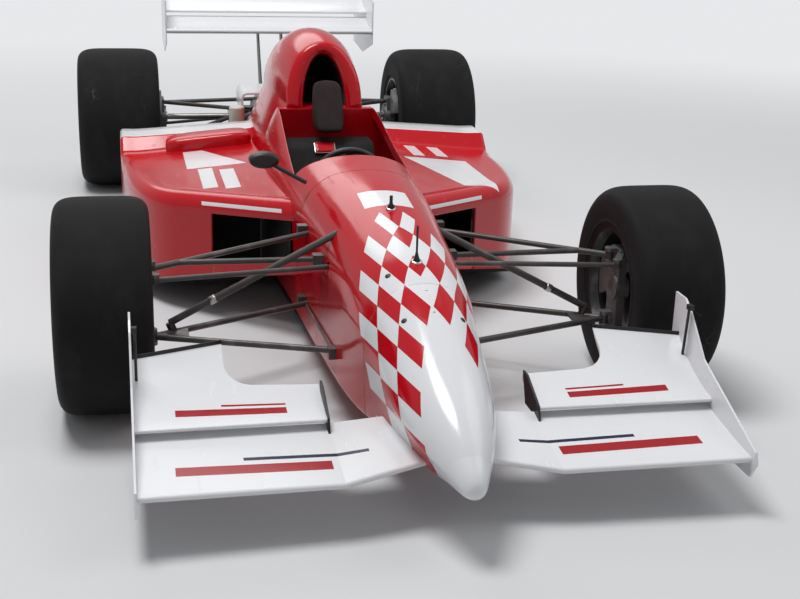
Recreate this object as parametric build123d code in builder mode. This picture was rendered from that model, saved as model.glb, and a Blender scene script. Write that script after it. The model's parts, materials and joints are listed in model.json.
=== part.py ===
"""Open wheel racing car, single seat, with front and rear wings.

Millimetres. The nose points along -Y, +Z is up and +X is the car's left side.
The origin is on the ground under the middle of the car. Stations along the car
are written as distances behind the front axle and turned into Y by at().
"""

import os
from collections import namedtuple
from math import cos, radians, sin

from build123d import *

os.makedirs("parts", exist_ok=True)

# Overall layout
NOSE_OVERHANG = 1095.0
WHEELBASE = 2950.0
REAR_OVERHANG = 825.0
OVERALL_LENGTH = NOSE_OVERHANG + WHEELBASE + REAR_OVERHANG
FRONT_AXLE_Y = NOSE_OVERHANG - OVERALL_LENGTH / 2
TAIL_Y = WHEELBASE + REAR_OVERHANG

# Wheels and tyres
FRONT_TYRE_RADIUS = 324.0
FRONT_TYRE_WIDTH = 276.0
FRONT_WHEEL_X = 859.0
REAR_TYRE_RADIUS = 343.0
REAR_TYRE_WIDTH = 391.0
REAR_WHEEL_X = 801.0
BEAD_RADIUS = 190.5
RIM_WALL = 7.0
WELL_DEPTH = 12.0
DISC_RADIUS = 140.0
DISC_THICKNESS = 24.0
SPOKES = 10

# Running gear
KINGPIN_X = 722.0
UPPER_JOINT_Z = 432.0
LOWER_JOINT_Z = 218.0
EYE_RADIUS = 14.0
EYE_HEIGHT = 24.0
PIN_RADIUS = 6.0
AXLE_RADIUS = 20.0
REAR_AXLE_RADIUS = 26.0
DRIVESHAFT_RADIUS = 15.0
RUNNING_FIT = 0.05
LUG_GAP = 1.0
LUG_THICKNESS = 12.0
STEER_ARM = 100.0
TIE_ROD_X = 712.0
TIE_ROD_RADIUS = 8.0
RACK_Z = 428.0
RACK_Y = -15.0
RACK_RADIUS = 12.0
RACK_HALF = 150.0
RACK_TRAVEL = 36.0
MOVING_GAP = 5.0

# Body
SEAM_Y = -480.0
SURROUND_Y = 400.0
SCUTTLE_Y = 600.0
COCKPIT_BACK_Y = 1290.0
BULKHEAD_THICKNESS = 40.0
TUB_END_Y = COCKPIT_BACK_Y + BULKHEAD_THICKNESS
WAIST_Z = 440.0
ARCH_BASE_Z = 676.0
TUB_WALL = 20.0
SKIN = 8.0
FLOOR_Z = 40.0
FLOOR_THICKNESS = 12.0
FLOOR_TOP = FLOOR_Z + FLOOR_THICKNESS
ENGINE_LENGTH = 600.0
ENGINE_TO_AXLE = 650.0
ENGINE_HALF = 175.0
ENGINE_TOP = 500.0
BULKHEAD_Y = WHEELBASE - ENGINE_TO_AXLE - ENGINE_LENGTH
ENGINE_END = BULKHEAD_Y + ENGINE_LENGTH
FUEL_CELL_HALF = 178.0
FUEL_CELL_TOP = 580.0

# Sidepods
POD_HALF = 790.0
POD_TO_AXLE = 970.0
POD_END_Y = WHEELBASE - POD_TO_AXLE
POD_WALL = 12.0
INLET_OUTER_X = 490.0

# Wings
FRONT_WING_HALF = 785.0
PLATE_THICKNESS = 6.0
FLAP_INNER_X = 290.0
FLAP_STEP_X = 541.0
REAR_WING_HALF = 545.0
REAR_WING_Y = WHEELBASE + 250
PYLON_X = 62.0

SIDES = (("left", 1), ("right", -1))
FAR = 1000.0


def at(station):
    """Y of a station given as a distance behind the front axle."""
    return FRONT_AXLE_Y + station


def across(station):
    """Plane across the car: local x is X and local y is Z."""
    return Plane(origin=(0, at(station), 0), x_dir=(1, 0, 0), z_dir=(0, -1, 0))


def alongside(x):
    """Plane along the car at one X: local x is Y and local y is Z."""
    return Plane(origin=(x, 0, 0), x_dir=(0, 1, 0), z_dir=(1, 0, 0))


def save(piece, name):
    """Label one finished piece and write it to its own file."""
    piece.label = name
    export_step(piece, f"parts/{name}.step")


# One cross-section of a body shell: flat base, leaning sides up to the waist, and
# a crown of arcs through points of a superellipse whose power is the fullness
Row = namedtuple("Row", "station half waist top foot base fullness bilge")
CROWN_ARCS = 5
LEAST_BILGE = 1.5


def crown_point(row, inset, degrees):
    """Point of a section's crown at one angle of its superellipse."""
    across_part = abs(cos(radians(degrees))) ** (2 / row.fullness)
    up_part = abs(sin(radians(degrees))) ** (2 / row.fullness)
    sign = 1 if degrees < 90 else -1
    return (
        sign * (row.half - inset) * across_part,
        row.waist + (row.top - row.waist - inset) * up_part,
    )


def body_section(row, inset=0.0):
    """Closed outline of a body shell at one station, drawn inwards by inset."""
    half = row.half - inset
    foot = row.foot - inset
    base = row.base + inset
    arc = 180 / CROWN_ARCS
    with BuildSketch(across(row.station)) as section:
        with BuildLine():
            Polyline((-half, row.waist), (-foot, base), (foot, base), (half, row.waist))
            for n in range(CROWN_ARCS):
                first, middle, last = (crown_point(row, inset, (n + part) * arc) for part in (0, 0.5, 1))
                ThreePointArc(first, middle, last)
        make_face()
        fillet(section.vertices().group_by(Axis.Y)[0], max(row.bilge - inset, LEAST_BILGE))
    return section.sketch


def wing_section(x, nose, tail, thickness, sag, lip=1.5):
    """Cambered wing section at one X, hollow side up, from (station, z) to (station, z)."""
    run = Vector(tail[0] - nose[0], tail[1] - nose[1])
    along = run.normalized()
    up = Vector(-along.Y, along.X)
    start = Vector(at(nose[0]), nose[1])
    end = Vector(at(tail[0]), tail[1])
    middle = (start + end) * 0.5 - up * sag
    blunt = thickness * 0.3
    with BuildSketch(alongside(x)) as section:
        with BuildLine():
            ThreePointArc(start + up * blunt, start - along * blunt, start - up * blunt)
            ThreePointArc(start - up * blunt, middle - up * thickness / 2, end - up * lip)
            Line(end - up * lip, end + up * lip)
            ThreePointArc(end + up * lip, middle + up * thickness / 2, start + up * blunt)
        make_face()
    return section.sketch


def rod(start, end, radius):
    """Round rod between two points given as (x, station, z)."""
    head = Vector(start[0], at(start[1]), start[2])
    reach = Vector(end[0], at(end[1]), end[2]) - head
    with BuildPart() as made:
        with BuildSketch(Plane(origin=head, z_dir=reach)):
            Circle(radius)
        extrude(amount=reach.length)
    return made.part


def shaft(x_low, x_high, station, z, radius):
    """Round shaft across the car between two X."""
    return rod((x_low, station, z), (x_high, station, z), radius)


def block(x_low, x_high, station_low, station_high, z_low, z_high):
    """Plain box between limits given in X, station and Z."""
    with BuildPart() as made:
        with BuildSketch(Plane.XY.offset(z_low)):
            with Locations(((x_low + x_high) / 2, at((station_low + station_high) / 2))):
                Rectangle(x_high - x_low, station_high - station_low)
        extrude(amount=z_high - z_low)
    return made.part


def upright_cylinder(x, station, z_low, z_high, radius):
    """Vertical cylinder at one point."""
    with BuildPart() as made:
        with BuildSketch(Plane.XY.offset(z_low)):
            with Locations((x, at(station))):
                Circle(radius)
        extrude(amount=z_high - z_low)
    return made.part


def side_profile(points, x_low, x_high):
    """Solid between two X whose side view goes through points given as (station, z)."""
    with BuildPart() as made:
        with BuildSketch(alongside(x_low)):
            with BuildLine():
                Polyline(*[(at(station), z) for station, z in points], close=True)
            make_face()
        extrude(amount=x_high - x_low)
    return made.part


def nose_at(part):
    """Station on the nose cone: 0 at its seam and 1 at its tip."""
    return SEAM_Y - part * (NOSE_OVERHANG + SEAM_Y)


# Nose and tub
HULL_ROWS = (
    Row(nose_at(0.977), 28, 186, 213, 16, 168, 2.0, 8),
    Row(nose_at(0.862), 60, 206, 278, 30, 160, 2.0, 16),
    Row(nose_at(0.65), 105, 238, 352, 62, 146, 2.1, 24),
    Row(nose_at(0.358), 137, 280, 430, 108, 132, 2.1, 28),
    Row(SEAM_Y, 162, 326, 513, 152, 118, 2.2, 28),
    Row(-220, 184, 366, 578, 186, 104, 2.2, 30),
    Row(60, 200, 398, 611, 199, 94, 2.3, 32),
    Row(340, 219, 424, 629, 206, 80, 2.4, 34),
    Row(SCUTTLE_Y + 40, 233, WAIST_Z, 641, 210, 62, 2.5, 36),
    Row(985, 245, WAIST_Z, 720, 224, FLOOR_TOP, 2.2, 36),
    Row(TUB_END_Y, 248, WAIST_Z, 784, 230, FLOOR_TOP, 2.1, 36),
)
TIP_ROWS = (Row(-NOSE_OVERHANG, 14, 184, 199, 9, 172, 2.0, 4), HULL_ROWS[0])
NOSE_ROWS = [row for row in HULL_ROWS if row.station <= SEAM_Y]
TUB_ROWS = [row for row in HULL_ROWS if row.station >= SEAM_Y]
TUB_SPAN = (SEAM_Y - 10, TUB_END_Y + 10)

with BuildPart() as nose_cone:
    loft(sections=[body_section(row) for row in NOSE_ROWS])
    loft(sections=[body_section(row) for row in TIP_ROWS])

with BuildPart() as hull:
    loft(sections=[body_section(row) for row in TUB_ROWS])
    add(block(-FAR, FAR, *TUB_SPAN, 0, FLOOR_TOP), mode=Mode.SUBTRACT)

with BuildPart() as hull_inside:
    loft(sections=[body_section(row, TUB_WALL) for row in TUB_ROWS])
    add(block(-FAR, FAR, SEAM_Y - 10, SEAM_Y + TUB_WALL, 0, FAR), mode=Mode.SUBTRACT)
    add(block(-FAR, FAR, COCKPIT_BACK_Y, TUB_END_Y + 10, 0, FAR), mode=Mode.SUBTRACT)

# Opening over the seat: narrow at the scuttle, widest at the notches beside it
SCUTTLE_HALF = 125.0
NOTCH_HALF = 206.0
NOTCH_LENGTH = 42.0
OPENING_BACK_HALF = 188.0
with BuildPart() as opening:
    with BuildSketch(Plane.XY.offset(WAIST_Z)) as opening_plan:
        with BuildLine():
            Polyline(
                (-SCUTTLE_HALF, at(SCUTTLE_Y)),
                (SCUTTLE_HALF, at(SCUTTLE_Y)),
                (NOTCH_HALF, at(SCUTTLE_Y + NOTCH_LENGTH)),
                (OPENING_BACK_HALF, at(COCKPIT_BACK_Y)),
                (-OPENING_BACK_HALF, at(COCKPIT_BACK_Y)),
                (-NOTCH_HALF, at(SCUTTLE_Y + NOTCH_LENGTH)),
                close=True,
            )
        make_face()
        fillet(opening_plan.vertices().group_by(Axis.Y)[0], 30)
        fillet(opening_plan.vertices().group_by(Axis.X)[0] + opening_plan.vertices().group_by(Axis.X)[-1], 12)
    extrude(amount=FAR)

with BuildPart() as open_hull:
    add(hull.part)
    add(hull_inside.part, mode=Mode.SUBTRACT)
    add(opening.part, mode=Mode.SUBTRACT)

# Slots in the tub's sides, wide enough for the tie rods over the whole steering
slot_reach = RACK_TRAVEL * (STEER_ARM + RACK_Y) / (TIE_ROD_X - RACK_HALF) + MOVING_GAP
RACK_BED_HALF = 186.0
RACK_CLAMP_HALF = 90.0
RACK_HOUSING_WALL = 9.0
with BuildPart() as monocoque:
    add(open_hull.part)
    add(block(-FAR, FAR, SURROUND_Y, TUB_SPAN[1], WAIST_Z, FAR), mode=Mode.SUBTRACT)
    # fuel cell and engine bulkhead
    add(block(-FUEL_CELL_HALF, FUEL_CELL_HALF, TUB_END_Y, BULKHEAD_Y, FLOOR_TOP, FUEL_CELL_TOP))
    # beam and housing that carry the steering rack
    add(block(-RACK_BED_HALF, RACK_BED_HALF, RACK_Y - 20, RACK_Y + 20, RACK_Z - 45, RACK_Z - 20))
    add(block(-RACK_CLAMP_HALF, RACK_CLAMP_HALF, RACK_Y - 12, RACK_Y + 12, RACK_Z - 30, RACK_Z - 12))
    add(shaft(-RACK_CLAMP_HALF, RACK_CLAMP_HALF, RACK_Y, RACK_Z, RACK_RADIUS + RACK_HOUSING_WALL))
    add(shaft(-FAR, FAR, RACK_Y, RACK_Z, RACK_RADIUS + RUNNING_FIT), mode=Mode.SUBTRACT)
    for side in (1, -1):
        slot_start = (side * (RACK_HALF - 30), RACK_Y - 5, RACK_Z)
        slot_end = (side * (RACK_HALF + 170), RACK_Y - 20, RACK_Z)
        add(rod(slot_start, slot_end, TIE_ROD_RADIUS + slot_reach), mode=Mode.SUBTRACT)

with BuildPart() as cockpit_surround:
    add(open_hull.part)
    add(block(-FAR, FAR, SEAM_Y - 10, SURROUND_Y, 0, FAR), mode=Mode.SUBTRACT)
    add(block(-FAR, FAR, SURROUND_Y - 1, TUB_SPAN[1], 0, WAIST_Z), mode=Mode.SUBTRACT)
    add(block(-FAR, FAR, COCKPIT_BACK_Y - 1, TUB_SPAN[1], ARCH_BASE_Z, FAR), mode=Mode.SUBTRACT)

save(nose_cone.part, "nose_cone")
save(monocoque.part, "monocoque")
save(cockpit_surround.part, "cockpit_surround")

# Cockpit
WHEEL_CENTRE = (0.0, 745.0, 512.0)
COLUMN_LEAN = radians(14)
WHEEL_RIM_RADIUS = 122.0
WHEEL_GRIP = 11.0
WHEEL_PLATE = 8.0
WHEEL_HUB_RADIUS = 34.0
SPOKE_WIDTH = 30.0
COLUMN_RADIUS = 10.0
COLUMN_LENGTH = 230.0
column_axis = Vector(0, -cos(COLUMN_LEAN), -sin(COLUMN_LEAN))
wheel_plane = Plane(
    origin=(WHEEL_CENTRE[0], at(WHEEL_CENTRE[1]), WHEEL_CENTRE[2]),
    x_dir=(1, 0, 0),
    z_dir=column_axis,
)
rim_plane = Plane(origin=wheel_plane.origin, x_dir=wheel_plane.x_dir, z_dir=wheel_plane.y_dir)

with BuildPart() as steering_wheel:
    with BuildSketch(rim_plane):
        with Locations((WHEEL_RIM_RADIUS, 0)):
            Circle(WHEEL_GRIP)
    revolve(axis=Axis(wheel_plane.origin, wheel_plane.z_dir))
    with BuildSketch(wheel_plane.offset(-WHEEL_PLATE / 2)):
        Circle(WHEEL_HUB_RADIUS)
        Rectangle(2 * WHEEL_RIM_RADIUS, SPOKE_WIDTH)
        with Locations((0, WHEEL_RIM_RADIUS / 2)):
            Rectangle(SPOKE_WIDTH, WHEEL_RIM_RADIUS)
    extrude(amount=WHEEL_PLATE)
    with BuildSketch(wheel_plane):
        Circle(COLUMN_RADIUS)
    extrude(amount=COLUMN_LENGTH)

DASH_Y = SCUTTLE_Y - 40
DASH_THICKNESS = 10.0
with BuildPart() as dash_panel:
    add(block(-FAR, FAR, DASH_Y, DASH_Y + DASH_THICKNESS, WAIST_Z + 1, FAR))
    add(hull_inside.part, mode=Mode.INTERSECT)
    with BuildSketch(wheel_plane):
        Circle(COLUMN_RADIUS + RUNNING_FIT)
    extrude(amount=2 * COLUMN_LENGTH, mode=Mode.SUBTRACT)

# Seat shell: a bent sheet with a shelf that reaches the bulkhead, open underneath
SEAT_HALF = 172.0
SEAT_SHEET = 14.0
SEAT_FRONT_Y = 620.0
SEAT_BEND_Y = 868.0
SEAT_BASE_Z = 100.0
SEAT_BEND = 60.0
SHELF_Z = 562.0
SHELF_Y = 1165.0
with BuildPart() as seat:
    with BuildSketch(alongside(-SEAT_HALF)):
        with BuildLine():
            FilletPolyline(
                (at(SEAT_FRONT_Y), SEAT_BASE_Z),
                (at(SEAT_BEND_Y), SEAT_BASE_Z),
                (at(SHELF_Y), SHELF_Z),
                (at(COCKPIT_BACK_Y), SHELF_Z),
                radius=SEAT_BEND,
            )
            offset(amount=SEAT_SHEET, side=Side.RIGHT)
        make_face()
    extrude(amount=2 * SEAT_HALF)

HEADREST_HALF = 57.0
HEADREST_FOOT_Z = SHELF_Z + 34
HEADREST_TOP_Z = 790.0
HEADREST_ROUND = 16.0
with BuildPart() as headrest:
    headrest_side = (
        (COCKPIT_BACK_Y, HEADREST_FOOT_Z),
        (1130, HEADREST_FOOT_Z),
        (1252, HEADREST_TOP_Z),
        (COCKPIT_BACK_Y, HEADREST_TOP_Z),
    )
    add(side_profile(headrest_side, -HEADREST_HALF, HEADREST_HALF))
    front_edges = headrest.edges().filter_by(lambda edge: edge.center().Y < at(COCKPIT_BACK_Y) - 1)
    fillet(front_edges, HEADREST_ROUND)

save(steering_wheel.part, "steering_wheel")
save(dash_panel.part, "dash_panel")
save(seat.part, "seat")
save(headrest.part, "headrest")

# Engine cover with its open roll hoop at the front
COVER_FRONT_Y = TUB_END_Y - 10
COVER_TO_AXLE = 210.0
COVER_END_Y = WHEELBASE - COVER_TO_AXLE


def cover_at(part):
    """Station on the engine cover: 0 at its front and 1 at its tail."""
    return COVER_FRONT_Y + part * (COVER_END_Y - COVER_FRONT_Y)


COVER_ROWS = (
    Row(COVER_FRONT_Y, 146, 690, 900, 244, WAIST_Z, 2.1, 4),
    Row(cover_at(0.113), 166, 694, 936, 250, WAIST_Z, 2.1, 4),
    Row(cover_at(0.268), 178, 690, 942, 254, WAIST_Z, 2.1, 4),
    Row(cover_at(0.549), 158, 650, 850, 240, WAIST_Z, 2.1, 4),
    Row(cover_at(0.796), 110, 570, 700, 190, WAIST_Z, 2.1, 4),
    Row(COVER_END_Y, 56, 500, 560, 120, WAIST_Z, 2.1, 4),
)
with BuildPart() as cover_outside:
    loft(sections=[body_section(row) for row in COVER_ROWS])

ARCH_LEAN = 84.0
ARCH_TOP_Z = 921.0
HOOP_DEPTH = 110.0
MOUTH_HALF = 92.0
MOUTH_SHOULDER_Z = 780.0
MOUTH_TOP_Z = 880.0
SKIRT_Z = WAIST_Z + SKIN + 1
with BuildPart() as cover_inside:
    loft(sections=[body_section(row, SKIN) for row in COVER_ROWS])
    hoop_end = TUB_END_Y + HOOP_DEPTH
    add(block(-FAR, FAR, COVER_FRONT_Y - 5, hoop_end, ARCH_BASE_Z - 12, FAR), mode=Mode.SUBTRACT)

with BuildPart() as engine_cover:
    add(cover_outside.part)
    add(cover_inside.part, mode=Mode.SUBTRACT)
    add(block(-FAR, FAR, COVER_FRONT_Y - 5, COVER_END_Y + 5, 0, SKIRT_Z), mode=Mode.SUBTRACT)
    add(block(-FAR, FAR, COVER_FRONT_Y - 5, TUB_END_Y + 1, 0, ARCH_BASE_Z), mode=Mode.SUBTRACT)
    # mouth of the roll hoop
    with BuildSketch(across(hoop_end + 90)):
        with BuildLine():
            Polyline(
                (-MOUTH_HALF, MOUTH_SHOULDER_Z),
                (-MOUTH_HALF, ARCH_BASE_Z),
                (MOUTH_HALF, ARCH_BASE_Z),
                (MOUTH_HALF, MOUTH_SHOULDER_Z),
            )
            ThreePointArc((MOUTH_HALF, MOUTH_SHOULDER_Z), (0, MOUTH_TOP_Z), (-MOUTH_HALF, MOUTH_SHOULDER_Z))
        make_face()
    extrude(amount=2 * FAR, mode=Mode.SUBTRACT)
    # leaning front of the hoop
    lean_side = (
        (COVER_FRONT_Y - 10, ARCH_BASE_Z),
        (COVER_FRONT_Y, ARCH_BASE_Z),
        (COVER_FRONT_Y + ARCH_LEAN, ARCH_TOP_Z),
        (COVER_FRONT_Y + ARCH_LEAN, FAR),
        (COVER_FRONT_Y - 10, FAR),
    )
    add(side_profile(lean_side, -FAR, FAR), mode=Mode.SUBTRACT)

save(engine_cover.part, "engine_cover")

# Sidepods: the deck is a plane through three points, given as (x, station, z)
DECK_INNER = (241, 386, 482)
DECK_CORNER = (743, 1090, 420)
DECK_REAR = (276, 1780, 452)
POD_ROOT_X = 150.0
POD_INNER_X = 240.0
POD_NOSE_Y = 258.0
POD_SHOULDER_Y = 1450.0
POD_CORNER_ROUND = 110.0
DECK_ROUND = 24.0
# the underside rises forwards from the floor like the mouth of a tunnel
THROAT_Y = DECK_CORNER[1]
UNDERSIDE_RISE = 0.32
LOWER_LIP = 66.0
UPPER_LIP = 46.0
deck_points = [Vector(x, at(station), z) for x, station, z in (DECK_INNER, DECK_CORNER, DECK_REAR)]
deck_normal = (deck_points[1] - deck_points[0]).cross(deck_points[2] - deck_points[0])


def deck_plane(drop=0.0):
    """Plane of the left pod's top, lowered by drop."""
    return Plane(origin=deck_points[0] - Vector(0, 0, drop), z_dir=deck_normal)


def deck_height(x, station):
    """Height of the left pod's top at one point."""
    offset_x = x - deck_points[0].X
    offset_y = at(station) - deck_points[0].Y
    return deck_points[0].Z - (deck_normal.X * offset_x + deck_normal.Y * offset_y) / deck_normal.Z


def pod_outline(inset=0.0):
    """Plan of the left pod, drawn inwards by inset, with a rounded front corner."""
    with BuildSketch() as plan:
        with BuildLine():
            Polyline(
                (POD_ROOT_X, at(POD_NOSE_Y)),
                (DECK_CORNER[0], at(DECK_CORNER[1])),
                (POD_HALF, at(POD_SHOULDER_Y)),
                (POD_HALF, at(POD_END_Y)),
                (POD_ROOT_X, at(POD_END_Y)),
                close=True,
            )
        make_face()
        if inset:
            offset(amount=-inset, kind=Kind.INTERSECTION)
        fillet(plan.vertices().sort_by(Axis.X)[-3], POD_CORNER_ROUND - inset)
    return plan.sketch


def above_underside(lift):
    """Room over the pod's underside, raised by lift."""
    throat = THROAT_Y + lift / UNDERSIDE_RISE
    front_z = FLOOR_TOP + UNDERSIDE_RISE * throat
    return side_profile(((0, front_z), (throat, FLOOR_TOP), (TAIL_Y, FLOOR_TOP), (TAIL_Y, FAR), (0, FAR)), 0, FAR)


RAMP_Y = POD_END_Y - 300
RAMP_TOP_Z = 462.0
RAMP_EDGE = 6.0
ramp_rows = []
for ramp_x in (POD_ROOT_X, POD_HALF):
    ramp_foot = deck_height(ramp_x, RAMP_Y)
    ramp_tail = deck_height(ramp_x, POD_END_Y)
    ramp_rows.append((ramp_x, ramp_foot, ramp_tail))

with BuildPart() as pod_body:
    add(pod_outline())
    extrude(amount=FAR)
    split(bisect_by=deck_plane(), keep=Keep.BOTTOM)
    add(above_underside(0), mode=Mode.INTERSECT)
    deck_face = pod_body.faces().sort_by(Axis.Z)[-1]
    rolled = deck_face.edges().filter_by(
        lambda edge: edge.center().X > POD_ROOT_X + 1 and edge.center().Y < at(POD_END_Y) - 1
    )
    fillet(rolled, DECK_ROUND)

with BuildPart() as pod_inside:
    add(pod_outline(POD_WALL))
    extrude(amount=FAR)
    split(bisect_by=deck_plane(POD_WALL), keep=Keep.BOTTOM)
    add(above_underside(LOWER_LIP), mode=Mode.INTERSECT)

with BuildPart() as pod_inlet:
    add(block(POD_ROOT_X, INLET_OUTER_X, 0, THROAT_Y, 0, FAR))
    split(bisect_by=deck_plane(UPPER_LIP), keep=Keep.BOTTOM)
    add(above_underside(LOWER_LIP), mode=Mode.INTERSECT)

# upswept tail of the deck
with BuildPart() as pod_ramp:
    ramp_sections = []
    for ramp_x, ramp_foot, ramp_tail in ramp_rows:
        with BuildSketch(alongside(ramp_x)) as ramp_section:
            with BuildLine():
                Polyline(
                    (at(RAMP_Y), ramp_foot - 1),
                    (at(POD_END_Y - RAMP_EDGE), RAMP_TOP_Z),
                    (at(POD_END_Y), RAMP_TOP_Z),
                    (at(POD_END_Y), ramp_tail - POD_WALL / 2),
                    (at(RAMP_Y), ramp_foot - POD_WALL / 2),
                    close=True,
                )
            make_face()
        ramp_sections.append(ramp_section.sketch)
    loft(sections=ramp_sections, ruled=True)

# Blister on the right pod's deck, beside the engine cover
BLISTER_INNER_X = 250.0
BLISTER_OUTER_X = 612.0
BLISTER_LENGTH = 290.0
BLISTER_HEIGHT = 58.0
BLISTER_ROUND = 22.0
with BuildPart() as blister:
    add(block(BLISTER_INNER_X, BLISTER_OUTER_X, POD_END_Y - BLISTER_LENGTH, POD_END_Y - 8, 0, FAR))
    split(bisect_by=deck_plane(-BLISTER_HEIGHT), keep=Keep.BOTTOM)
    fillet(blister.faces().sort_by(Axis.Z)[-1].edges(), BLISTER_ROUND)
    split(bisect_by=deck_plane(1), keep=Keep.TOP)

for side_name, side in SIDES:
    with BuildPart() as sidepod:
        add(pod_body.part)
        add(pod_inside.part, mode=Mode.SUBTRACT)
        add(pod_inlet.part, mode=Mode.SUBTRACT)
        add(block(POD_ROOT_X, POD_HALF - POD_WALL, POD_END_Y - 20, POD_END_Y + 20, 0, 380), mode=Mode.SUBTRACT)
        add(pod_ramp.part)
        if side < 0:
            add(blister.part)
        add(block(0, POD_INNER_X, TUB_END_Y - 10, POD_END_Y + 20, 0, FAR), mode=Mode.SUBTRACT)
        add(hull.part, mode=Mode.SUBTRACT)
        add(cover_outside.part, mode=Mode.SUBTRACT)
        if side < 0:
            mirror(about=Plane.YZ, mode=Mode.REPLACE)
    save(sidepod.part, f"sidepod_{side_name}")

# Radiators, each with the plate that closes its duct on the outer side
RADIATOR_FRONT_Y = 1180.0
RADIATOR_SWEEP = 90.0
RADIATOR_DEPTH = 42.0
RADIATOR_TOP = 372.0
RADIATOR_INNER_X = 270.0
DUCT_WALL = 8.0
DUCT_FRONT_Y = 860.0
with BuildPart() as radiators:
    with BuildSketch(Plane.XY.offset(FLOOR_TOP)):
        with BuildLine():
            Polyline(
                (RADIATOR_INNER_X, at(RADIATOR_FRONT_Y)),
                (INLET_OUTER_X, at(RADIATOR_FRONT_Y + RADIATOR_SWEEP)),
                (INLET_OUTER_X, at(RADIATOR_FRONT_Y + RADIATOR_SWEEP + RADIATOR_DEPTH)),
                (RADIATOR_INNER_X, at(RADIATOR_FRONT_Y + RADIATOR_DEPTH)),
                close=True,
            )
        make_face()
    extrude(amount=RADIATOR_TOP - FLOOR_TOP)
    duct_end = RADIATOR_FRONT_Y + RADIATOR_SWEEP + RADIATOR_DEPTH
    add(block(INLET_OUTER_X, INLET_OUTER_X + DUCT_WALL, DUCT_FRONT_Y, duct_end, FLOOR_TOP, RADIATOR_TOP))
    add(above_underside(LOWER_LIP), mode=Mode.INTERSECT)
    mirror(about=Plane.YZ)
save(radiators.part, "radiators")

# Engine
ENGINE_CREST_HALF = 100.0
ENGINE_CREST_Z = 560.0
ENGINE_CREST_INSET = 60.0
with BuildPart() as engine_block:
    add(block(-ENGINE_HALF, ENGINE_HALF, BULKHEAD_Y, ENGINE_END, FLOOR_TOP, ENGINE_TOP))
    crest_span = (BULKHEAD_Y + ENGINE_CREST_INSET, ENGINE_END - ENGINE_CREST_INSET)
    add(block(-ENGINE_CREST_HALF, ENGINE_CREST_HALF, *crest_span, ENGINE_TOP, ENGINE_CREST_Z))
save(engine_block.part, "engine_block")

# Header bottle beside the engine on the right, on its shelf
BOTTLE_X = -272.0
BOTTLE_RADIUS = 35.0
BOTTLE_FOOT = 444.0
BOTTLE_HEIGHT = 83.0
BOTTLE_ROUND = 10.0
SHELF_THICKNESS = 8.0
bottle_y = ENGINE_END - 100
with BuildPart() as header_bottle:
    add(upright_cylinder(BOTTLE_X, bottle_y, BOTTLE_FOOT, BOTTLE_FOOT + BOTTLE_HEIGHT, BOTTLE_RADIUS))
    fillet(header_bottle.faces().sort_by(Axis.Z)[-1].edges(), BOTTLE_ROUND)
    shelf = (BOTTLE_X - 28, -ENGINE_HALF, bottle_y - 30, bottle_y + 30, BOTTLE_FOOT - SHELF_THICKNESS, BOTTLE_FOOT)
    add(block(*shelf))
save(header_bottle.part, "header_bottle")

# Floor, and the tunnels behind the engine with their strakes
TUNNEL_HALF = 520.0
TUNNEL_START = ENGINE_END
TUNNEL_END = WHEELBASE + 250
TUNNEL_RISE = 120.0
TUNNEL_ROOF = 8.0
STRAKE_THICKNESS = 6.0
STRAKE_INNER_X = 150.0
STRAKE_LIFT = 20.0
KEEL_HALF = 190.0
KEEL_FRONT_Y = SCUTTLE_Y - 40
with BuildPart() as underbody:
    with BuildSketch(Plane.XY.offset(FLOOR_Z)):
        with BuildLine():
            Polyline(
                (KEEL_HALF, at(KEEL_FRONT_Y)),
                (KEEL_HALF + 34, at(THROAT_Y)),
                (DECK_CORNER[0], at(THROAT_Y)),
                (POD_HALF, at(POD_SHOULDER_Y)),
                (POD_HALF, at(POD_END_Y)),
                (TUNNEL_HALF, at(POD_END_Y + 60)),
                (TUNNEL_HALF, at(TUNNEL_START)),
                (0, at(TUNNEL_START)),
                (0, at(KEEL_FRONT_Y)),
                close=True,
            )
        make_face()
    extrude(amount=FLOOR_THICKNESS)
    mirror(about=Plane.YZ)

with BuildPart() as diffuser:
    roof_side = (
        (TUNNEL_START, FLOOR_Z),
        (TUNNEL_END, FLOOR_Z + TUNNEL_RISE),
        (TUNNEL_END, FLOOR_Z + TUNNEL_RISE + TUNNEL_ROOF),
        (TUNNEL_START, FLOOR_TOP),
    )
    add(side_profile(roof_side, 0, TUNNEL_HALF))
    strake_side = (
        (TUNNEL_START, FLOOR_Z),
        (TUNNEL_END, FLOOR_Z + STRAKE_LIFT),
        (TUNNEL_END, FLOOR_Z + TUNNEL_RISE + TUNNEL_ROOF),
        (TUNNEL_START, FLOOR_TOP),
    )
    for outer_x in (STRAKE_INNER_X, TUNNEL_HALF):
        add(side_profile(strake_side, outer_x - STRAKE_THICKNESS, outer_x))
    mirror(about=Plane.YZ)

save(underbody.part, "underbody")
save(diffuser.part, "diffuser")

# Gearbox: columns are station, half width, bottom, top
GEARBOX_END = WHEELBASE + 400
GEARBOX_ROWS = (
    (ENGINE_END, 170, 178, 430),
    (WHEELBASE - 200, 150, 180, 425),
    (WHEELBASE + 80, 130, 190, 420),
    (GEARBOX_END, 80, 230, 390),
)
GEARBOX_ROUND = 25.0
DRIVE_X = 185.0
DRIVE_HOUSING = 55.0
DRIVE_SOCKET = 30.0
TOW_EYE_BORE = 12.5
TOW_EYE_THICKNESS = 16.0
TOW_EYE_Z = 310.0
TOW_EYE_HALF = 30.0


def gearbox_section(station, half, bottom, top):
    """Rounded casing outline at one station."""
    with BuildSketch(across(station)) as outline:
        with Locations((0, (bottom + top) / 2)):
            RectangleRounded(2 * half, top - bottom, GEARBOX_ROUND)
    return outline.sketch


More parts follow.
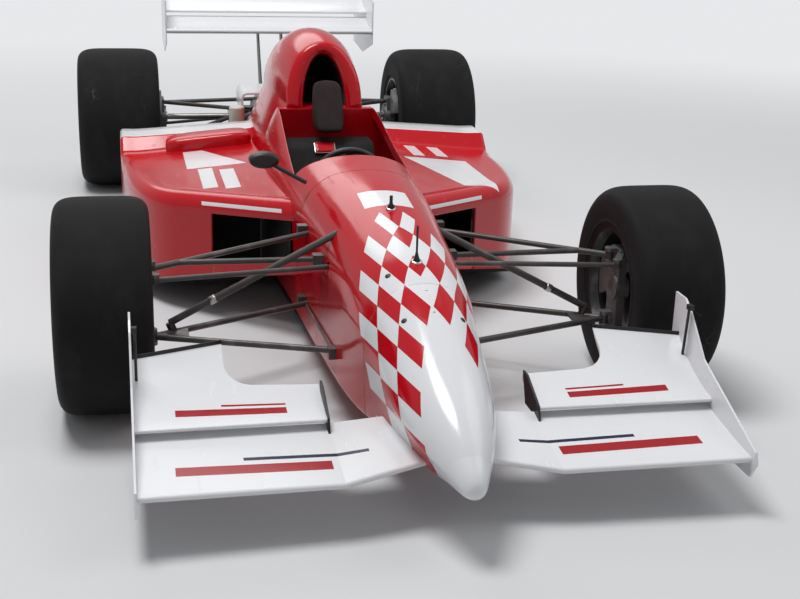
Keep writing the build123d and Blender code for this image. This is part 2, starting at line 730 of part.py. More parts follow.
with BuildPart() as gearbox:
    loft(sections=[gearbox_section(*row) for row in GEARBOX_ROWS], ruled=True)
    add(shaft(-DRIVE_X, DRIVE_X, WHEELBASE, REAR_TYRE_RADIUS, DRIVE_HOUSING))
    for side in (1, -1):
        socket = (side * (DRIVE_X - DRIVE_SOCKET), side * (DRIVE_X + 1))
        add(shaft(*socket, WHEELBASE, REAR_TYRE_RADIUS, DRIVESHAFT_RADIUS + RUNNING_FIT), mode=Mode.SUBTRACT)
    # tow eye at the tail
    eye_span = (GEARBOX_END - 20, GEARBOX_END + 40, TOW_EYE_Z - TOW_EYE_HALF, TOW_EYE_Z + TOW_EYE_HALF)
    add(block(-TOW_EYE_THICKNESS / 2, TOW_EYE_THICKNESS / 2, *eye_span))
    add(shaft(-TOW_EYE_THICKNESS, TOW_EYE_THICKNESS, GEARBOX_END + 15, TOW_EYE_Z, TOW_EYE_BORE), mode=Mode.SUBTRACT)
save(gearbox.part, "gearbox")

# Front wing: each section is X, nose and tail as (station, z), thickness and sag
MAIN_PLANE = (
    (60, (-870, 172), (-610, 190), 30, 4),
    (281, (-912, 140), (-640, 186), 28, 14),
    (FRONT_WING_HALF, (-932, 148), (-650, 190), 28, 14),
)
FLAP = (
    (FLAP_INNER_X, (-664, 206), (-300, 332), 18, 26),
    (FRONT_WING_HALF, (-680, 210), (-430, 312), 18, 22),
)
FLAP_STEP_Y = -504.0
FLAP_STEP_ROUND = 75.0
with BuildPart() as front_wing_planes:
    loft(sections=[wing_section(*row) for row in MAIN_PLANE], ruled=True)
    add(nose_cone.part, mode=Mode.SUBTRACT)
    mirror(about=Plane.YZ)

with BuildPart() as front_wing_flaps:
    loft(sections=[wing_section(*row) for row in FLAP], ruled=True)
    # the inner part is shorter, with a rounded step up to the full chord
    with BuildSketch() as flap_step:
        with BuildLine():
            Polyline(
                (FLAP_INNER_X - 50, at(FLAP_STEP_Y)),
                (FLAP_STEP_X, at(FLAP_STEP_Y)),
                (FLAP_STEP_X, at(FLAP_STEP_Y + 300)),
                (FLAP_INNER_X - 50, at(FLAP_STEP_Y + 300)),
                close=True,
            )
        make_face()
        fillet(flap_step.vertices().group_by(Axis.X)[-1].sort_by(Axis.Y)[0], FLAP_STEP_ROUND)
    extrude(amount=FAR, mode=Mode.SUBTRACT)
    mirror(about=Plane.YZ)

with BuildPart() as front_wing_endplates:
    plate_side = (
        (-384, 297),
        (-384, 431),
        (-449, 431),
        (-488, 410),
        (-606, 301),
        (-954, 176),
        (-967, 147),
        (-937, 99),
        (-640, 94),
        (-520, 120),
    )
    add(side_profile(plate_side, FRONT_WING_HALF, FRONT_WING_HALF + PLATE_THICKNESS))
    mirror(about=Plane.YZ)

# Brackets under the flaps' inner ends, and an adjusting rod at each end plate
ADJUSTER_RADIUS = 4.0
BRACKET_THICKNESS = 6.0
with BuildPart() as wing_brackets:
    bracket_side = ((-688, 178), (-560, 178), (-522, 262), (-560, 262), (-672, 216))
    add(side_profile(bracket_side, FLAP_INNER_X - BRACKET_THICKNESS, FLAP_INNER_X))
    adjuster_x = FRONT_WING_HALF - 10
    add(rod((adjuster_x, -505, 425), (adjuster_x, -490, 270), ADJUSTER_RADIUS))
    add(block(adjuster_x - 5, FRONT_WING_HALF, -515, -495, 415, 430))
    mirror(about=Plane.YZ)
    add(front_wing_planes.part, mode=Mode.SUBTRACT)
    add(front_wing_flaps.part, mode=Mode.SUBTRACT)

save(front_wing_planes.part, "front_wing_planes")
save(front_wing_flaps.part, "front_wing_flaps")
save(front_wing_endplates.part, "front_wing_endplates")
save(wing_brackets.part, "wing_brackets")

# Rear wing: columns are nose and tail as (station behind the wing's front, z),
# thickness and sag
REAR_ELEMENTS = (
    ((5, 745), (200, 802), 34, 24),
    ((190, 828), (400, 935), 24, 24),
)
with BuildPart() as rear_wing_planes:
    for nose, tail, thickness, sag in REAR_ELEMENTS:
        nose = (REAR_WING_Y + nose[0], nose[1])
        tail = (REAR_WING_Y + tail[0], tail[1])
        ends = (-REAR_WING_HALF, REAR_WING_HALF)
        loft(sections=[wing_section(x, nose, tail, thickness, sag) for x in ends], ruled=True)

with BuildPart() as rear_wing_endplates:
    plate_side = (
        (REAR_WING_Y, 680),
        (REAR_WING_Y, 900),
        (REAR_WING_Y + 60, 955),
        (TAIL_Y, 955),
        (TAIL_Y, 630),
        (REAR_WING_Y + 280, 605),
    )
    add(side_profile(plate_side, REAR_WING_HALF, REAR_WING_HALF + PLATE_THICKNESS))
    mirror(about=Plane.YZ)

with BuildPart() as rear_wing_pylons:
    pylon_side = (
        (WHEELBASE + 90, 400),
        (WHEELBASE + 240, 400),
        (WHEELBASE + 400, 752),
        (WHEELBASE + 300, 738),
    )
    add(side_profile(pylon_side, PYLON_X - PLATE_THICKNESS / 2, PYLON_X + PLATE_THICKNESS / 2))
    mirror(about=Plane.YZ)
    add(rear_wing_planes.part, mode=Mode.SUBTRACT)
    add(gearbox.part, mode=Mode.SUBTRACT)

save(rear_wing_planes.part, "rear_wing_planes")
save(rear_wing_endplates.part, "rear_wing_endplates")
save(rear_wing_pylons.part, "rear_wing_pylons")

# Front suspension: points are (x, station, z); columns of the legs are start, end, radius
LOWER_EYE = (KINGPIN_X, 0, LOWER_JOINT_Z)
UPPER_EYE = (KINGPIN_X, 0, UPPER_JOINT_Z)
UPPER_MEET = (637, 50, 434)
UPPER_FRONT_END = (150, 52, 430)
UPPER_REAR_END = (150, 290, 460)
LOWER_FRONT_END = (140, -163, 203)
LOWER_REAR_END = (140, 330, 205)
PUSHROD_FOOT = (668, 40, 246)
PUSHROD_HEAD = (150, 13, 528)
PUSHROD_RADIUS = 11.0
BRACE = ((214, 300, 206), (196, -150, 204), 4)
FRONT_LEGS = (
    (UPPER_EYE, UPPER_MEET, 10),
    (UPPER_MEET, UPPER_FRONT_END, 9),
    (UPPER_MEET, UPPER_REAR_END, 9),
    (LOWER_EYE, LOWER_FRONT_END, 10),
    (LOWER_EYE, LOWER_REAR_END, 10),
    BRACE,
)
CLEVIS_HALF = 17.0
CLEVIS_REACH = 30.0


def eye(point):
    """Bearing eye with its hole upright at the end of a wishbone."""
    return upright_cylinder(point[0], point[1], point[2] - EYE_HEIGHT / 2, point[2] + EYE_HEIGHT / 2, EYE_RADIUS)


def eye_hole(point):
    """Running hole through a bearing eye."""
    span = (point[2] - EYE_HEIGHT, point[2] + EYE_HEIGHT)
    return upright_cylinder(point[0], point[1], *span, PIN_RADIUS + RUNNING_FIT)


def clevis(point, surface_x):
    """Block that holds the inner end of a leg against the body's side at surface_x."""
    span_z = (point[2] - CLEVIS_HALF, point[2] + CLEVIS_HALF)
    return block(point[0], surface_x + CLEVIS_REACH, point[1] - CLEVIS_HALF, point[1] + CLEVIS_HALF, *span_z)


with BuildPart() as front_wishbones:
    for start, end, radius in FRONT_LEGS:
        add(rod(start, end, radius))
    for point in (UPPER_EYE, LOWER_EYE):
        add(eye(point))
        add(eye_hole(point), mode=Mode.SUBTRACT)
    for point, surface_x in (
        (UPPER_FRONT_END, 198),
        (UPPER_REAR_END, 214),
        (LOWER_FRONT_END, 180),
        (LOWER_REAR_END, 206),
    ):
        add(clevis(point, surface_x))
    # gusset between the lower legs, and the lug on it that takes the pushrod's foot
    with BuildSketch(Plane.XY.offset(LOWER_JOINT_Z - 5)):
        with BuildLine():
            Polyline(
                (KINGPIN_X - EYE_RADIUS + 2, at(0)),
                (KINGPIN_X - 110, at(-30)),
                (KINGPIN_X - 110, at(62)),
                close=True,
            )
        make_face()
    extrude(amount=10)
    add(rod((PUSHROD_FOOT[0] - 13, PUSHROD_FOOT[1] - 2, LOWER_JOINT_Z - 4), PUSHROD_FOOT, 13))
    add(hull.part, mode=Mode.SUBTRACT)
    mirror(about=Plane.YZ)

# Steering: rack with both tie rods as one sliding piece
with BuildPart() as steering_rack:
    add(shaft(-RACK_HALF, RACK_HALF, RACK_Y, RACK_Z, RACK_RADIUS))
    for side in (1, -1):
        tip = (side * TIE_ROD_X, -STEER_ARM, RACK_Z)
        add(rod((side * (RACK_HALF - 8), RACK_Y, RACK_Z), tip, TIE_ROD_RADIUS))
        add(upright_cylinder(tip[0], tip[1], RACK_Z - TIE_ROD_RADIUS, RACK_Z + TIE_ROD_RADIUS, EYE_RADIUS))

# Where discs and calipers stand beside the uprights
POST_THICKNESS = 26.0
POST_INNER_X = KINGPIN_X + EYE_RADIUS + MOVING_GAP + 1
POST_OUTER_X = POST_INNER_X + POST_THICKNESS
REAR_POST_INNER_X = 578.0
REAR_POST_OUTER_X = REAR_POST_INNER_X + POST_THICKNESS
FRONT_BOSS_END = POST_OUTER_X + 14
REAR_BOSS_END = REAR_POST_OUTER_X + 20
DISC_GAP = MOVING_GAP + 1
CALIPER_GAP = 5.0
CALIPER_CHEEK = 14.0
CALIPER_OUTER = 160.0
CALIPER_BRIDGE = 15.0
CALIPER_PAD = 96.0
CALIPER_ARC = 52.0


def caliper(centre_z, station, mount_x, disc_x, root, start_angle):
    """Left brake caliper as an arc of a C round the disc, with its inner cheek on the upright."""
    lean = radians(start_angle)
    centre = (0, at(station), centre_z)
    outer_x = disc_x + DISC_THICKNESS + CALIPER_GAP
    inner_x = disc_x - CALIPER_GAP
    bridge = CALIPER_OUTER - CALIPER_BRIDGE
    with BuildPart() as made:
        with BuildSketch(Plane(origin=centre, x_dir=(1, 0, 0), z_dir=(0, -sin(lean), cos(lean)))):
            with BuildLine():
                Polyline(
                    (mount_x, root),
                    (inner_x, root),
                    (inner_x, bridge),
                    (outer_x, bridge),
                    (outer_x, CALIPER_PAD),
                    (outer_x + CALIPER_CHEEK, CALIPER_PAD),
                    (outer_x + CALIPER_CHEEK, CALIPER_OUTER),
                    (mount_x, CALIPER_OUTER),
                    close=True,
                )
            make_face()
        revolve(axis=Axis(centre, (1, 0, 0)), revolution_arc=CALIPER_ARC)
    return made.part


# Front uprights: a post with forked lugs round both eyes, an axle boss, an arm and a caliper
POST_HALF = 42.0
LUG_HALF = 16.0
FRONT_BOSS_RADIUS = 46.0
ARM_THICKNESS = 10.0
with BuildPart() as front_upright:
    post_z = (LOWER_JOINT_Z - 26, UPPER_JOINT_Z + 26)
    add(block(POST_INNER_X, POST_OUTER_X, -POST_HALF, POST_HALF, *post_z))
    fillet(front_upright.edges().filter_by(Axis.X), 18)
    add(shaft(POST_INNER_X - 6, FRONT_BOSS_END, 0, FRONT_TYRE_RADIUS, FRONT_BOSS_RADIUS))
    for joint_z in (LOWER_JOINT_Z, UPPER_JOINT_Z):
        reach = EYE_HEIGHT / 2 + LUG_GAP
        for z_low in (joint_z + reach, joint_z - reach - LUG_THICKNESS):
            add(block(KINGPIN_X, POST_OUTER_X, -LUG_HALF, LUG_HALF, z_low, z_low + LUG_THICKNESS))
            add(upright_cylinder(KINGPIN_X, 0, z_low, z_low + LUG_THICKNESS, LUG_HALF))
        add(upright_cylinder(KINGPIN_X, 0, joint_z - reach - LUG_THICKNESS, joint_z + reach + LUG_THICKNESS, PIN_RADIUS))
    # steering arm, just above the tie rod's eye
    with BuildSketch(Plane.XY.offset(RACK_Z + TIE_ROD_RADIUS + LUG_GAP)):
        with BuildLine():
            Polyline(
                (POST_INNER_X, at(-20)),
                (POST_OUTER_X, at(-20)),
                (TIE_ROD_X + 12, at(-STEER_ARM)),
                (TIE_ROD_X - 12, at(-STEER_ARM)),
                close=True,
            )
        make_face()
        with Locations((TIE_ROD_X, at(-STEER_ARM))):
            Circle(EYE_RADIUS)
    extrude(amount=ARM_THICKNESS)
    add(caliper(FRONT_TYRE_RADIUS, 0, POST_OUTER_X - 12, FRONT_BOSS_END + DISC_GAP, 30, -CALIPER_ARC / 2))
    axle_span = (POST_INNER_X - 10, POST_OUTER_X + 20)
    add(shaft(*axle_span, 0, FRONT_TYRE_RADIUS, AXLE_RADIUS + RUNNING_FIT), mode=Mode.SUBTRACT)

save(front_wishbones.part, "front_wishbones")
save(steering_rack.part, "steering_rack")
for side_name, side in SIDES:
    piece = front_upright.part if side > 0 else front_upright.part.mirror(Plane.YZ)
    save(piece, f"front_upright_{side_name}")

# Rear suspension: columns are start and end as (x, station, z), and radius
REAR_UPPER_Z = 417.0
REAR_LOWER_Z = 200.0
REAR_BOSS_RADIUS = 56.0
REAR_POST_HALF = 48.0
REAR_LEGS = (
    ((REAR_POST_INNER_X, WHEELBASE, REAR_UPPER_Z), (100, WHEELBASE - 400, 440), 10),
    ((REAR_POST_INNER_X, WHEELBASE, REAR_UPPER_Z), (60, WHEELBASE + 60, 423), 10),
    ((REAR_POST_INNER_X, WHEELBASE - 20, REAR_LOWER_Z), (60, WHEELBASE - 340, 215), 11),
    ((REAR_POST_INNER_X, WHEELBASE + 20, REAR_LOWER_Z), (60, WHEELBASE + 140, 232), 11),
)
REAR_PUSHROD_FOOT = (553, WHEELBASE - 16, REAR_LOWER_Z + 24)
REAR_PUSHROD_HEAD = (120, WHEELBASE - 170, 420)
with BuildPart() as rear_uprights:
    post_z = (REAR_LOWER_Z - 22, REAR_UPPER_Z + 22)
    add(block(REAR_POST_INNER_X, REAR_POST_OUTER_X, WHEELBASE - REAR_POST_HALF, WHEELBASE + REAR_POST_HALF, *post_z))
    add(shaft(REAR_POST_INNER_X - 10, REAR_BOSS_END, WHEELBASE, REAR_TYRE_RADIUS, REAR_BOSS_RADIUS))
    add(caliper(REAR_TYRE_RADIUS, WHEELBASE, REAR_POST_OUTER_X - 12, REAR_BOSS_END + DISC_GAP, 36, 115))
    axle_span = (REAR_POST_INNER_X - 20, REAR_POST_OUTER_X + 30)
    add(shaft(*axle_span, WHEELBASE, REAR_TYRE_RADIUS, REAR_AXLE_RADIUS + RUNNING_FIT), mode=Mode.SUBTRACT)
    mirror(about=Plane.YZ)

with BuildPart() as rear_wishbones:
    for start, end, radius in REAR_LEGS:
        add(rod(start, end, radius))
    # toe link behind the axle
    add(rod((REAR_POST_INNER_X + 4, WHEELBASE + 40, 300), (80, WHEELBASE + 110, 330), 8))
    add(block(540, 566, WHEELBASE - 30, WHEELBASE - 2, REAR_LOWER_Z - 8, REAR_LOWER_Z + 34))
    add(block(554, REAR_POST_INNER_X, WHEELBASE - 40, WHEELBASE + 40, REAR_LOWER_Z - 9, REAR_LOWER_Z + 9))
    mirror(about=Plane.YZ)
    add(gearbox.part, mode=Mode.SUBTRACT)
    add(rear_uprights.part, mode=Mode.SUBTRACT)

with BuildPart() as pushrods:
    add(rod(PUSHROD_FOOT, PUSHROD_HEAD, PUSHROD_RADIUS))
    add(hull.part, mode=Mode.SUBTRACT)
    add(rod(REAR_PUSHROD_FOOT, REAR_PUSHROD_HEAD, PUSHROD_RADIUS))
    mirror(about=Plane.YZ)
    add(front_wishbones.part, mode=Mode.SUBTRACT)
    add(rear_wishbones.part, mode=Mode.SUBTRACT)
    add(gearbox.part, mode=Mode.SUBTRACT)

save(rear_uprights.part, "rear_uprights")
save(rear_wishbones.part, "rear_wishbones")
save(pushrods.part, "pushrods")

# Wheels: columns are name, side, axle station, middle X, tyre radius, tyre width, axle
# radius, shaft radius inside the upright, where the hub starts and where its boss ends
WHEELS = (
    ("front_left", 1, 0, FRONT_WHEEL_X, FRONT_TYRE_RADIUS, FRONT_TYRE_WIDTH, AXLE_RADIUS, AXLE_RADIUS),
    ("front_right", -1, 0, FRONT_WHEEL_X, FRONT_TYRE_RADIUS, FRONT_TYRE_WIDTH, AXLE_RADIUS, AXLE_RADIUS),
    ("rear_left", 1, WHEELBASE, REAR_WHEEL_X, REAR_TYRE_RADIUS, REAR_TYRE_WIDTH, REAR_AXLE_RADIUS, DRIVESHAFT_RADIUS),
    ("rear_right", -1, WHEELBASE, REAR_WHEEL_X, REAR_TYRE_RADIUS, REAR_TYRE_WIDTH, REAR_AXLE_RADIUS, DRIVESHAFT_RADIUS),
)
BULGE = 8.0
BEAD_WIDTH = 24.0
FLANGE_HEIGHT = 12.0
FLANGE_WIDTH = 3.0
BEAD_INSET = 2.0
SHOULDER_DROP = 7.0
SHOULDER_WIDTH = 26.0
CARCASS = 34.0
FACE_SHARE = 0.35
FACE_DEPTH = 22.0
FACE_DISH = 14.0
FACE_HUB_RADIUS = 70.0
FACE_STEP = 8.0
WINDOW_INNER = 82.0
WINDOW_MARGIN = 12.0
WINDOW_ROUND = 7.0
SPOKE_HALF = 9.0
HAT_RADIUS = 66.0
NUT_WIDTH = 32.0
NUT_LENGTH = 26.0
JOINT_RADIUS = 44.0
JOINT_LENGTH = 60.0
floor_radius = BEAD_RADIUS - WELL_DEPTH - RIM_WALL
for name, side, station, middle, radius, width, axle, shaft_radius in WHEELS:
    centre = (side * middle, at(station), radius)
    section_plane = Plane(origin=centre, x_dir=(side, 0, 0), z_dir=(0, -side, 0))
    spin = Axis(centre, (side, 0, 0))
    half = width / 2
    rim_half = half - BULGE - 4
    bead_x = rim_half - BEAD_INSET
    well_x = bead_x - BEAD_WIDTH
    flange_x = rim_half + FLANGE_WIDTH
    face_x = half * FACE_SHARE
    with BuildPart() as rim:
        with BuildSketch(section_plane):
            with BuildLine():
                Polyline(
                    (-rim_half, BEAD_RADIUS + FLANGE_HEIGHT),
                    (-bead_x, BEAD_RADIUS),
                    (-well_x, BEAD_RADIUS),
                    (-well_x, BEAD_RADIUS - WELL_DEPTH),
                    (well_x, BEAD_RADIUS - WELL_DEPTH),
                    (well_x, BEAD_RADIUS),
                    (bead_x, BEAD_RADIUS),
                    (rim_half, BEAD_RADIUS + FLANGE_HEIGHT),
                    (flange_x, BEAD_RADIUS + FLANGE_HEIGHT),
                    (flange_x, BEAD_RADIUS - RIM_WALL),
                    (well_x + BEAD_INSET, floor_radius),
                    (-well_x - BEAD_INSET, floor_radius),
                    (-flange_x, BEAD_RADIUS - RIM_WALL),
                    (-flange_x, BEAD_RADIUS + FLANGE_HEIGHT),
                    close=True,
                )
            make_face()
            # dished face, from the rim's floor in to the hub
            with BuildLine():
                Polyline(
                    (face_x, floor_radius + 1),
                    (face_x + FACE_DEPTH, floor_radius + 1),
                    (face_x + FACE_STEP, FACE_HUB_RADIUS),
                    (face_x + FACE_STEP, axle + 8),
                    (face_x - FACE_DISH, axle + 8),
                    (face_x - FACE_DISH, FACE_HUB_RADIUS),
                    close=True,
                )
            make_face()
        revolve(axis=spin)
        # windows between the spokes, wider towards the rim
        window_outer = floor_radius - WINDOW_MARGIN
        with BuildSketch(Plane(origin=centre, x_dir=(0, side, 0), z_dir=(side, 0, 0)).offset(face_x - 40)):
            with PolarLocations(0, SPOKES):
                with BuildSketch(mode=Mode.PRIVATE) as window:
                    spread = radians(180 / SPOKES)
                    corners = []
                    for reach in (WINDOW_INNER, window_outer):
                        corners.append((reach, reach * sin(spread) - SPOKE_HALF))
                    with BuildLine():
                        Polyline(
                            corners[0],
                            corners[1],
                            (corners[1][0], -corners[1][1]),
                            (corners[0][0], -corners[0][1]),
                            close=True,
                        )
                    make_face()
                    fillet(window.vertices(), WINDOW_ROUND)
                add(window.sketch)
        extrude(amount=90, mode=Mode.SUBTRACT)
    save(rim.part, f"rim_{name}")

    with BuildPart() as tyre:
        crown_x = half - SHOULDER_WIDTH
        crown_radius = radius - SHOULDER_DROP
        wall_radius = (BEAD_RADIUS + radius) / 2 + 4
        with BuildSketch(section_plane):
            with BuildLine():
                ThreePointArc((bead_x, BEAD_RADIUS), (half, wall_radius), (crown_x, crown_radius))
                ThreePointArc((crown_x, crown_radius), (0, radius), (-crown_x, crown_radius))
                ThreePointArc((-crown_x, crown_radius), (-half, wall_radius), (-bead_x, BEAD_RADIUS))
                Polyline(
                    (-bead_x, BEAD_RADIUS),
                    (-well_x, BEAD_RADIUS),
                    (-half + 20, radius - CARCASS),
                    (half - 20, radius - CARCASS),
                    (well_x, BEAD_RADIUS),
                    (bead_x, BEAD_RADIUS),
                )
            make_face()
        revolve(axis=spin)
        add(rim.part, mode=Mode.SUBTRACT)
    save(tyre.part, f"tyre_{name}")

    driven = station > 0
    boss_end = (REAR_BOSS_END if driven else FRONT_BOSS_END) - middle
    disc_x = boss_end + DISC_GAP
    inner_end = (DRIVE_X - 20 if driven else POST_INNER_X - 5) - middle
    nut_x = face_x + FACE_STEP
    with BuildPart() as hub:
        with BuildSketch(section_plane):
            with BuildLine():
                Polyline(
                    (inner_end, 0),
                    (inner_end, shaft_radius),
                    (boss_end + 1, shaft_radius),
                    (disc_x, axle),
                    (disc_x, DISC_RADIUS),
                    (disc_x + DISC_THICKNESS, DISC_RADIUS),
                    (disc_x + DISC_THICKNESS, HAT_RADIUS),
                    (face_x - FACE_DISH, HAT_RADIUS),
                    (face_x - FACE_DISH, axle + 8),
                    (nut_x, axle + 8),
                    (nut_x, 0),
                    close=True,
                )
            make_face()
            if driven:
                # stub in the upright, and the shaft's joint beside the gearbox
                post_middle = (REAR_POST_INNER_X - 16 + REAR_POST_OUTER_X + 26) / 2 - middle
                with Locations((post_middle, axle / 2)):
                    Rectangle(POST_THICKNESS + 42, axle)
                with Locations((DRIVE_X + MOVING_GAP + 1 + JOINT_LENGTH / 2 - middle, JOINT_RADIUS / 2)):
                    Rectangle(JOINT_LENGTH, JOINT_RADIUS)
        revolve(axis=spin)
        # centre nut with its flange
        nut_plane = Plane(origin=centre, x_dir=(0, side, 0), z_dir=(side, 0, 0)).offset(nut_x)
        with BuildSketch(nut_plane):
            Circle(NUT_WIDTH + 12)
        extrude(amount=NUT_LENGTH / 3)
        with BuildSketch(nut_plane):
            RegularPolygon(NUT_WIDTH, 6)
        extrude(amount=NUT_LENGTH)
    save(hub.part, f"hub_{name}")

# Mirror on the right of the cockpit
MIRROR_HEAD = (-334, 450, 657)
MIRROR_DEPTH = 40.0
with BuildPart() as mirror_head:
    with BuildSketch(across(MIRROR_HEAD[1] + MIRROR_DEPTH / 2)):
        with Locations((MIRROR_HEAD[0], MIRROR_HEAD[2])):
            Ellipse(50, 27)
    extrude(amount=MIRROR_DEPTH)
    fillet(mirror_head.edges().group_by(Axis.Y)[0], 14)
    add(rod((-200, 400, 590), (-300, 440, 640), 7))
    add(hull.part, mode=Mode.SUBTRACT)
save(mirror_head.part, "mirror")

# White tail fairing over the gearbox, open underneath
FAIRING_END_Y = WHEELBASE - 190
FAIRING_LENGTH = 280.0
FAIRING_HALF = 225.0
FAIRING_TOP = 540.0
FAIRING_FOOT = 452.0
FAIRING_ROUND = 30.0
FAIRING_WALL = 10.0
with BuildPart() as tail_fairing:
    hood_height = FAIRING_TOP - FAIRING_FOOT
    inner_height = hood_height + FAIRING_ROUND
    with BuildSketch(across(FAIRING_END_Y)) as hood:
        with Locations((0, FAIRING_TOP - hood_height / 2)):
            Rectangle(2 * FAIRING_HALF, hood_height)
        fillet(hood.vertices().group_by(Axis.Y)[-1], FAIRING_ROUND)
        with Locations((0, FAIRING_TOP - FAIRING_WALL - inner_height / 2)):
            inner_width = 2 * (FAIRING_HALF - FAIRING_WALL)
            RectangleRounded(inner_width, inner_height, FAIRING_ROUND - FAIRING_WALL, mode=Mode.SUBTRACT)
    extrude(amount=FAIRING_LENGTH)
    add(cover_outside.part, mode=Mode.SUBTRACT)
save(tail_fairing.part, "tail_fairing")

# Aerials on the centre line: columns are station, base z, height and radius
AERIALS = ((-384, 525, 125, 3), (-18, 590, 55, 5))
with BuildPart() as aerials:
    for station, base_z, height, radius in AERIALS:
        add(upright_cylinder(0, station, base_z, base_z + 26, 11))
        add(upright_cylinder(0, station, base_z, base_z + height, radius))
    add(hull.part, mode=Mode.SUBTRACT)
save(aerials.part, "aerials")
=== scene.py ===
"""Looks of an open wheel racing car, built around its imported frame.

Metres. The nose points along -Y, +Z is up and +X is the car's left side. Stations
are distances behind the front axle, as they are in the part's own source.
"""

import json
import logging
import math
from dataclasses import dataclass
from enum import Enum
from typing import Callable, Iterable, Union

import bpy
import numpy as np
from mathutils import Matrix, Vector

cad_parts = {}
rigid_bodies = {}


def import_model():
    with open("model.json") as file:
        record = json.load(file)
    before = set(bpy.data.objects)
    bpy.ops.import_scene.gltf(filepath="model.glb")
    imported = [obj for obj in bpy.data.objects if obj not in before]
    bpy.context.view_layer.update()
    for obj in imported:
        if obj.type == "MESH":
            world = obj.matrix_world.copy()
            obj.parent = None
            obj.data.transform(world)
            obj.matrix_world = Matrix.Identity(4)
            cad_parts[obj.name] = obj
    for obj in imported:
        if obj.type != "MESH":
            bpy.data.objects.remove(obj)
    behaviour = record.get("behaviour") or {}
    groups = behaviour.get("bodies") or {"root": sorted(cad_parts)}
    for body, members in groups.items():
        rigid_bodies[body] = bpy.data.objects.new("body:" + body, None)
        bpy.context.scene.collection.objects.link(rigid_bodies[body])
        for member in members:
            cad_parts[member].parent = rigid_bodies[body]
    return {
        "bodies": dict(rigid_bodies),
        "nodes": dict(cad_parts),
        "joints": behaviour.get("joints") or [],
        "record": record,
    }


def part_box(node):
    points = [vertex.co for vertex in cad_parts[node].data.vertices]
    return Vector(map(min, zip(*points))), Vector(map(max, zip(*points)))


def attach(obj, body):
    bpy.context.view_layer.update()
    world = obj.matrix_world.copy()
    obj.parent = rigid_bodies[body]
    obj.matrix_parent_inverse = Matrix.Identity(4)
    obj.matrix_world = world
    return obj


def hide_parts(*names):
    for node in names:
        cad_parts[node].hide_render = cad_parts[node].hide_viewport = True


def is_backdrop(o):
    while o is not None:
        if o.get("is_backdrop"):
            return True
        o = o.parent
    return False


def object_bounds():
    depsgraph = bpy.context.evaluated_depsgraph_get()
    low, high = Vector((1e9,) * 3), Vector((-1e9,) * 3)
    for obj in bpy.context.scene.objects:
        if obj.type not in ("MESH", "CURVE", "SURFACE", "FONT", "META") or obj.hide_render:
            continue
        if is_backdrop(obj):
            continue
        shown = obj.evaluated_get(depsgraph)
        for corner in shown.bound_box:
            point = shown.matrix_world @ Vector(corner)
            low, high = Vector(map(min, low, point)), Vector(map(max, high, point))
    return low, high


LOG = logging.getLogger("racing_car")
TURN = 2 * math.pi
SIDES = (("left", 1.0), ("right", -1.0))
CORNERS = ("front_left", "front_right", "rear_left", "rear_right")

Number = Union[float, "Value"]
Colour = tuple[float, float, float]
Triple = tuple[float, float, float]
Pair = tuple[float, float]


def math_node(operation: str, swapped: bool = False) -> Callable[["Value", Number], "Value"]:
    """Method of Value that joins it and another term by one Math node.

    Args:
        operation: The Math node's operation.
        swapped: Whether the other term comes first, as in an operator's reflected form.

    Returns:
        The method.
    """

    def method(value: "Value", other: Number) -> "Value":
        """Join the value and the other term."""
        terms = (other, value) if swapped else (value, other)
        return value.graph.math(operation, *terms)

    return method


class Value:
    """A number in a material's node tree that takes part in Python arithmetic."""

    __add__ = __radd__ = math_node("ADD")
    __sub__ = math_node("SUBTRACT")
    __rsub__ = math_node("SUBTRACT", swapped=True)
    __mul__ = __rmul__ = math_node("MULTIPLY")
    __pow__ = math_node("POWER")
    __gt__ = math_node("GREATER_THAN")
    __lt__ = math_node("LESS_THAN")
    highest = math_node("MAXIMUM")

    def __init__(self, graph: "Graph", socket: bpy.types.NodeSocket) -> None:
        """Wrap one output socket of the graph."""
        self.graph = graph
        self.socket = socket

    def __abs__(self) -> "Value":
        """The value without its sign."""
        return self.graph.math("ABSOLUTE", self)

    def floor(self) -> "Value":
        """Whole number at or below the value."""
        return self.graph.math("FLOOR", self)

    def odd(self) -> "Value":
        """Mask of 1 where a whole number is odd."""
        return self.graph.math("FLOORED_MODULO", self, 2.0)

    def sine(self) -> "Value":
        """Sine of the value."""
        return self.graph.math("SINE", self)

    def ramp(self, low: float, high: float) -> "Value":
        """Smooth mask that runs from 0 at low to 1 at high."""
        spread = {"Value": self, "From Min": low, "From Max": high}
        return self.graph.value("MapRange", {"interpolation_type": "SMOOTHSTEP"}, spread)

    def between(self, low: float, high: float) -> "Value":
        """Mask of 1 where the value lies between two limits."""
        return (self > low) * (self < high)


@dataclass
class Place:
    """A surface point's X, station behind the front axle and height, as values."""

    x: Value
    station: Value
    z: Value


class Tree:
    """A node tree, with the one method that adds its nodes."""

    def __init__(self, tree: bpy.types.NodeTree) -> None:
        """Empty the tree."""
        self.tree = tree
        self.tree.nodes.clear()

    def node(self, kind: str, settings: dict | None = None, inputs: dict | None = None) -> bpy.types.Node:
        """Add one node.

        Args:
            kind: The node's type without its ShaderNode prefix.
            settings: Properties, which are set first.
            inputs: Numbers, colours, values or sockets by the name or index of their input.

        Returns:
            The new node.
        """
        made = self.tree.nodes.new("ShaderNode" + kind)
        for name, setting in (settings or {}).items():
            setattr(made, name, setting)
        for key, source in (inputs or {}).items():
            self.feed(made.inputs[key], source)
        return made

    def feed(self, target: bpy.types.NodeSocket, source: object) -> None:
        """Link or set one input.

        Args:
            target: The input socket.
            source: A value, a socket, a number, a colour or a vector.
        """
        if isinstance(source, Value):
            source = source.socket
        if isinstance(source, bpy.types.NodeSocket):
            self.tree.links.new(source, target)
        elif isinstance(source, tuple) and target.type == "RGBA":
            target.default_value = (*source, 1.0)
        else:
            target.default_value = source


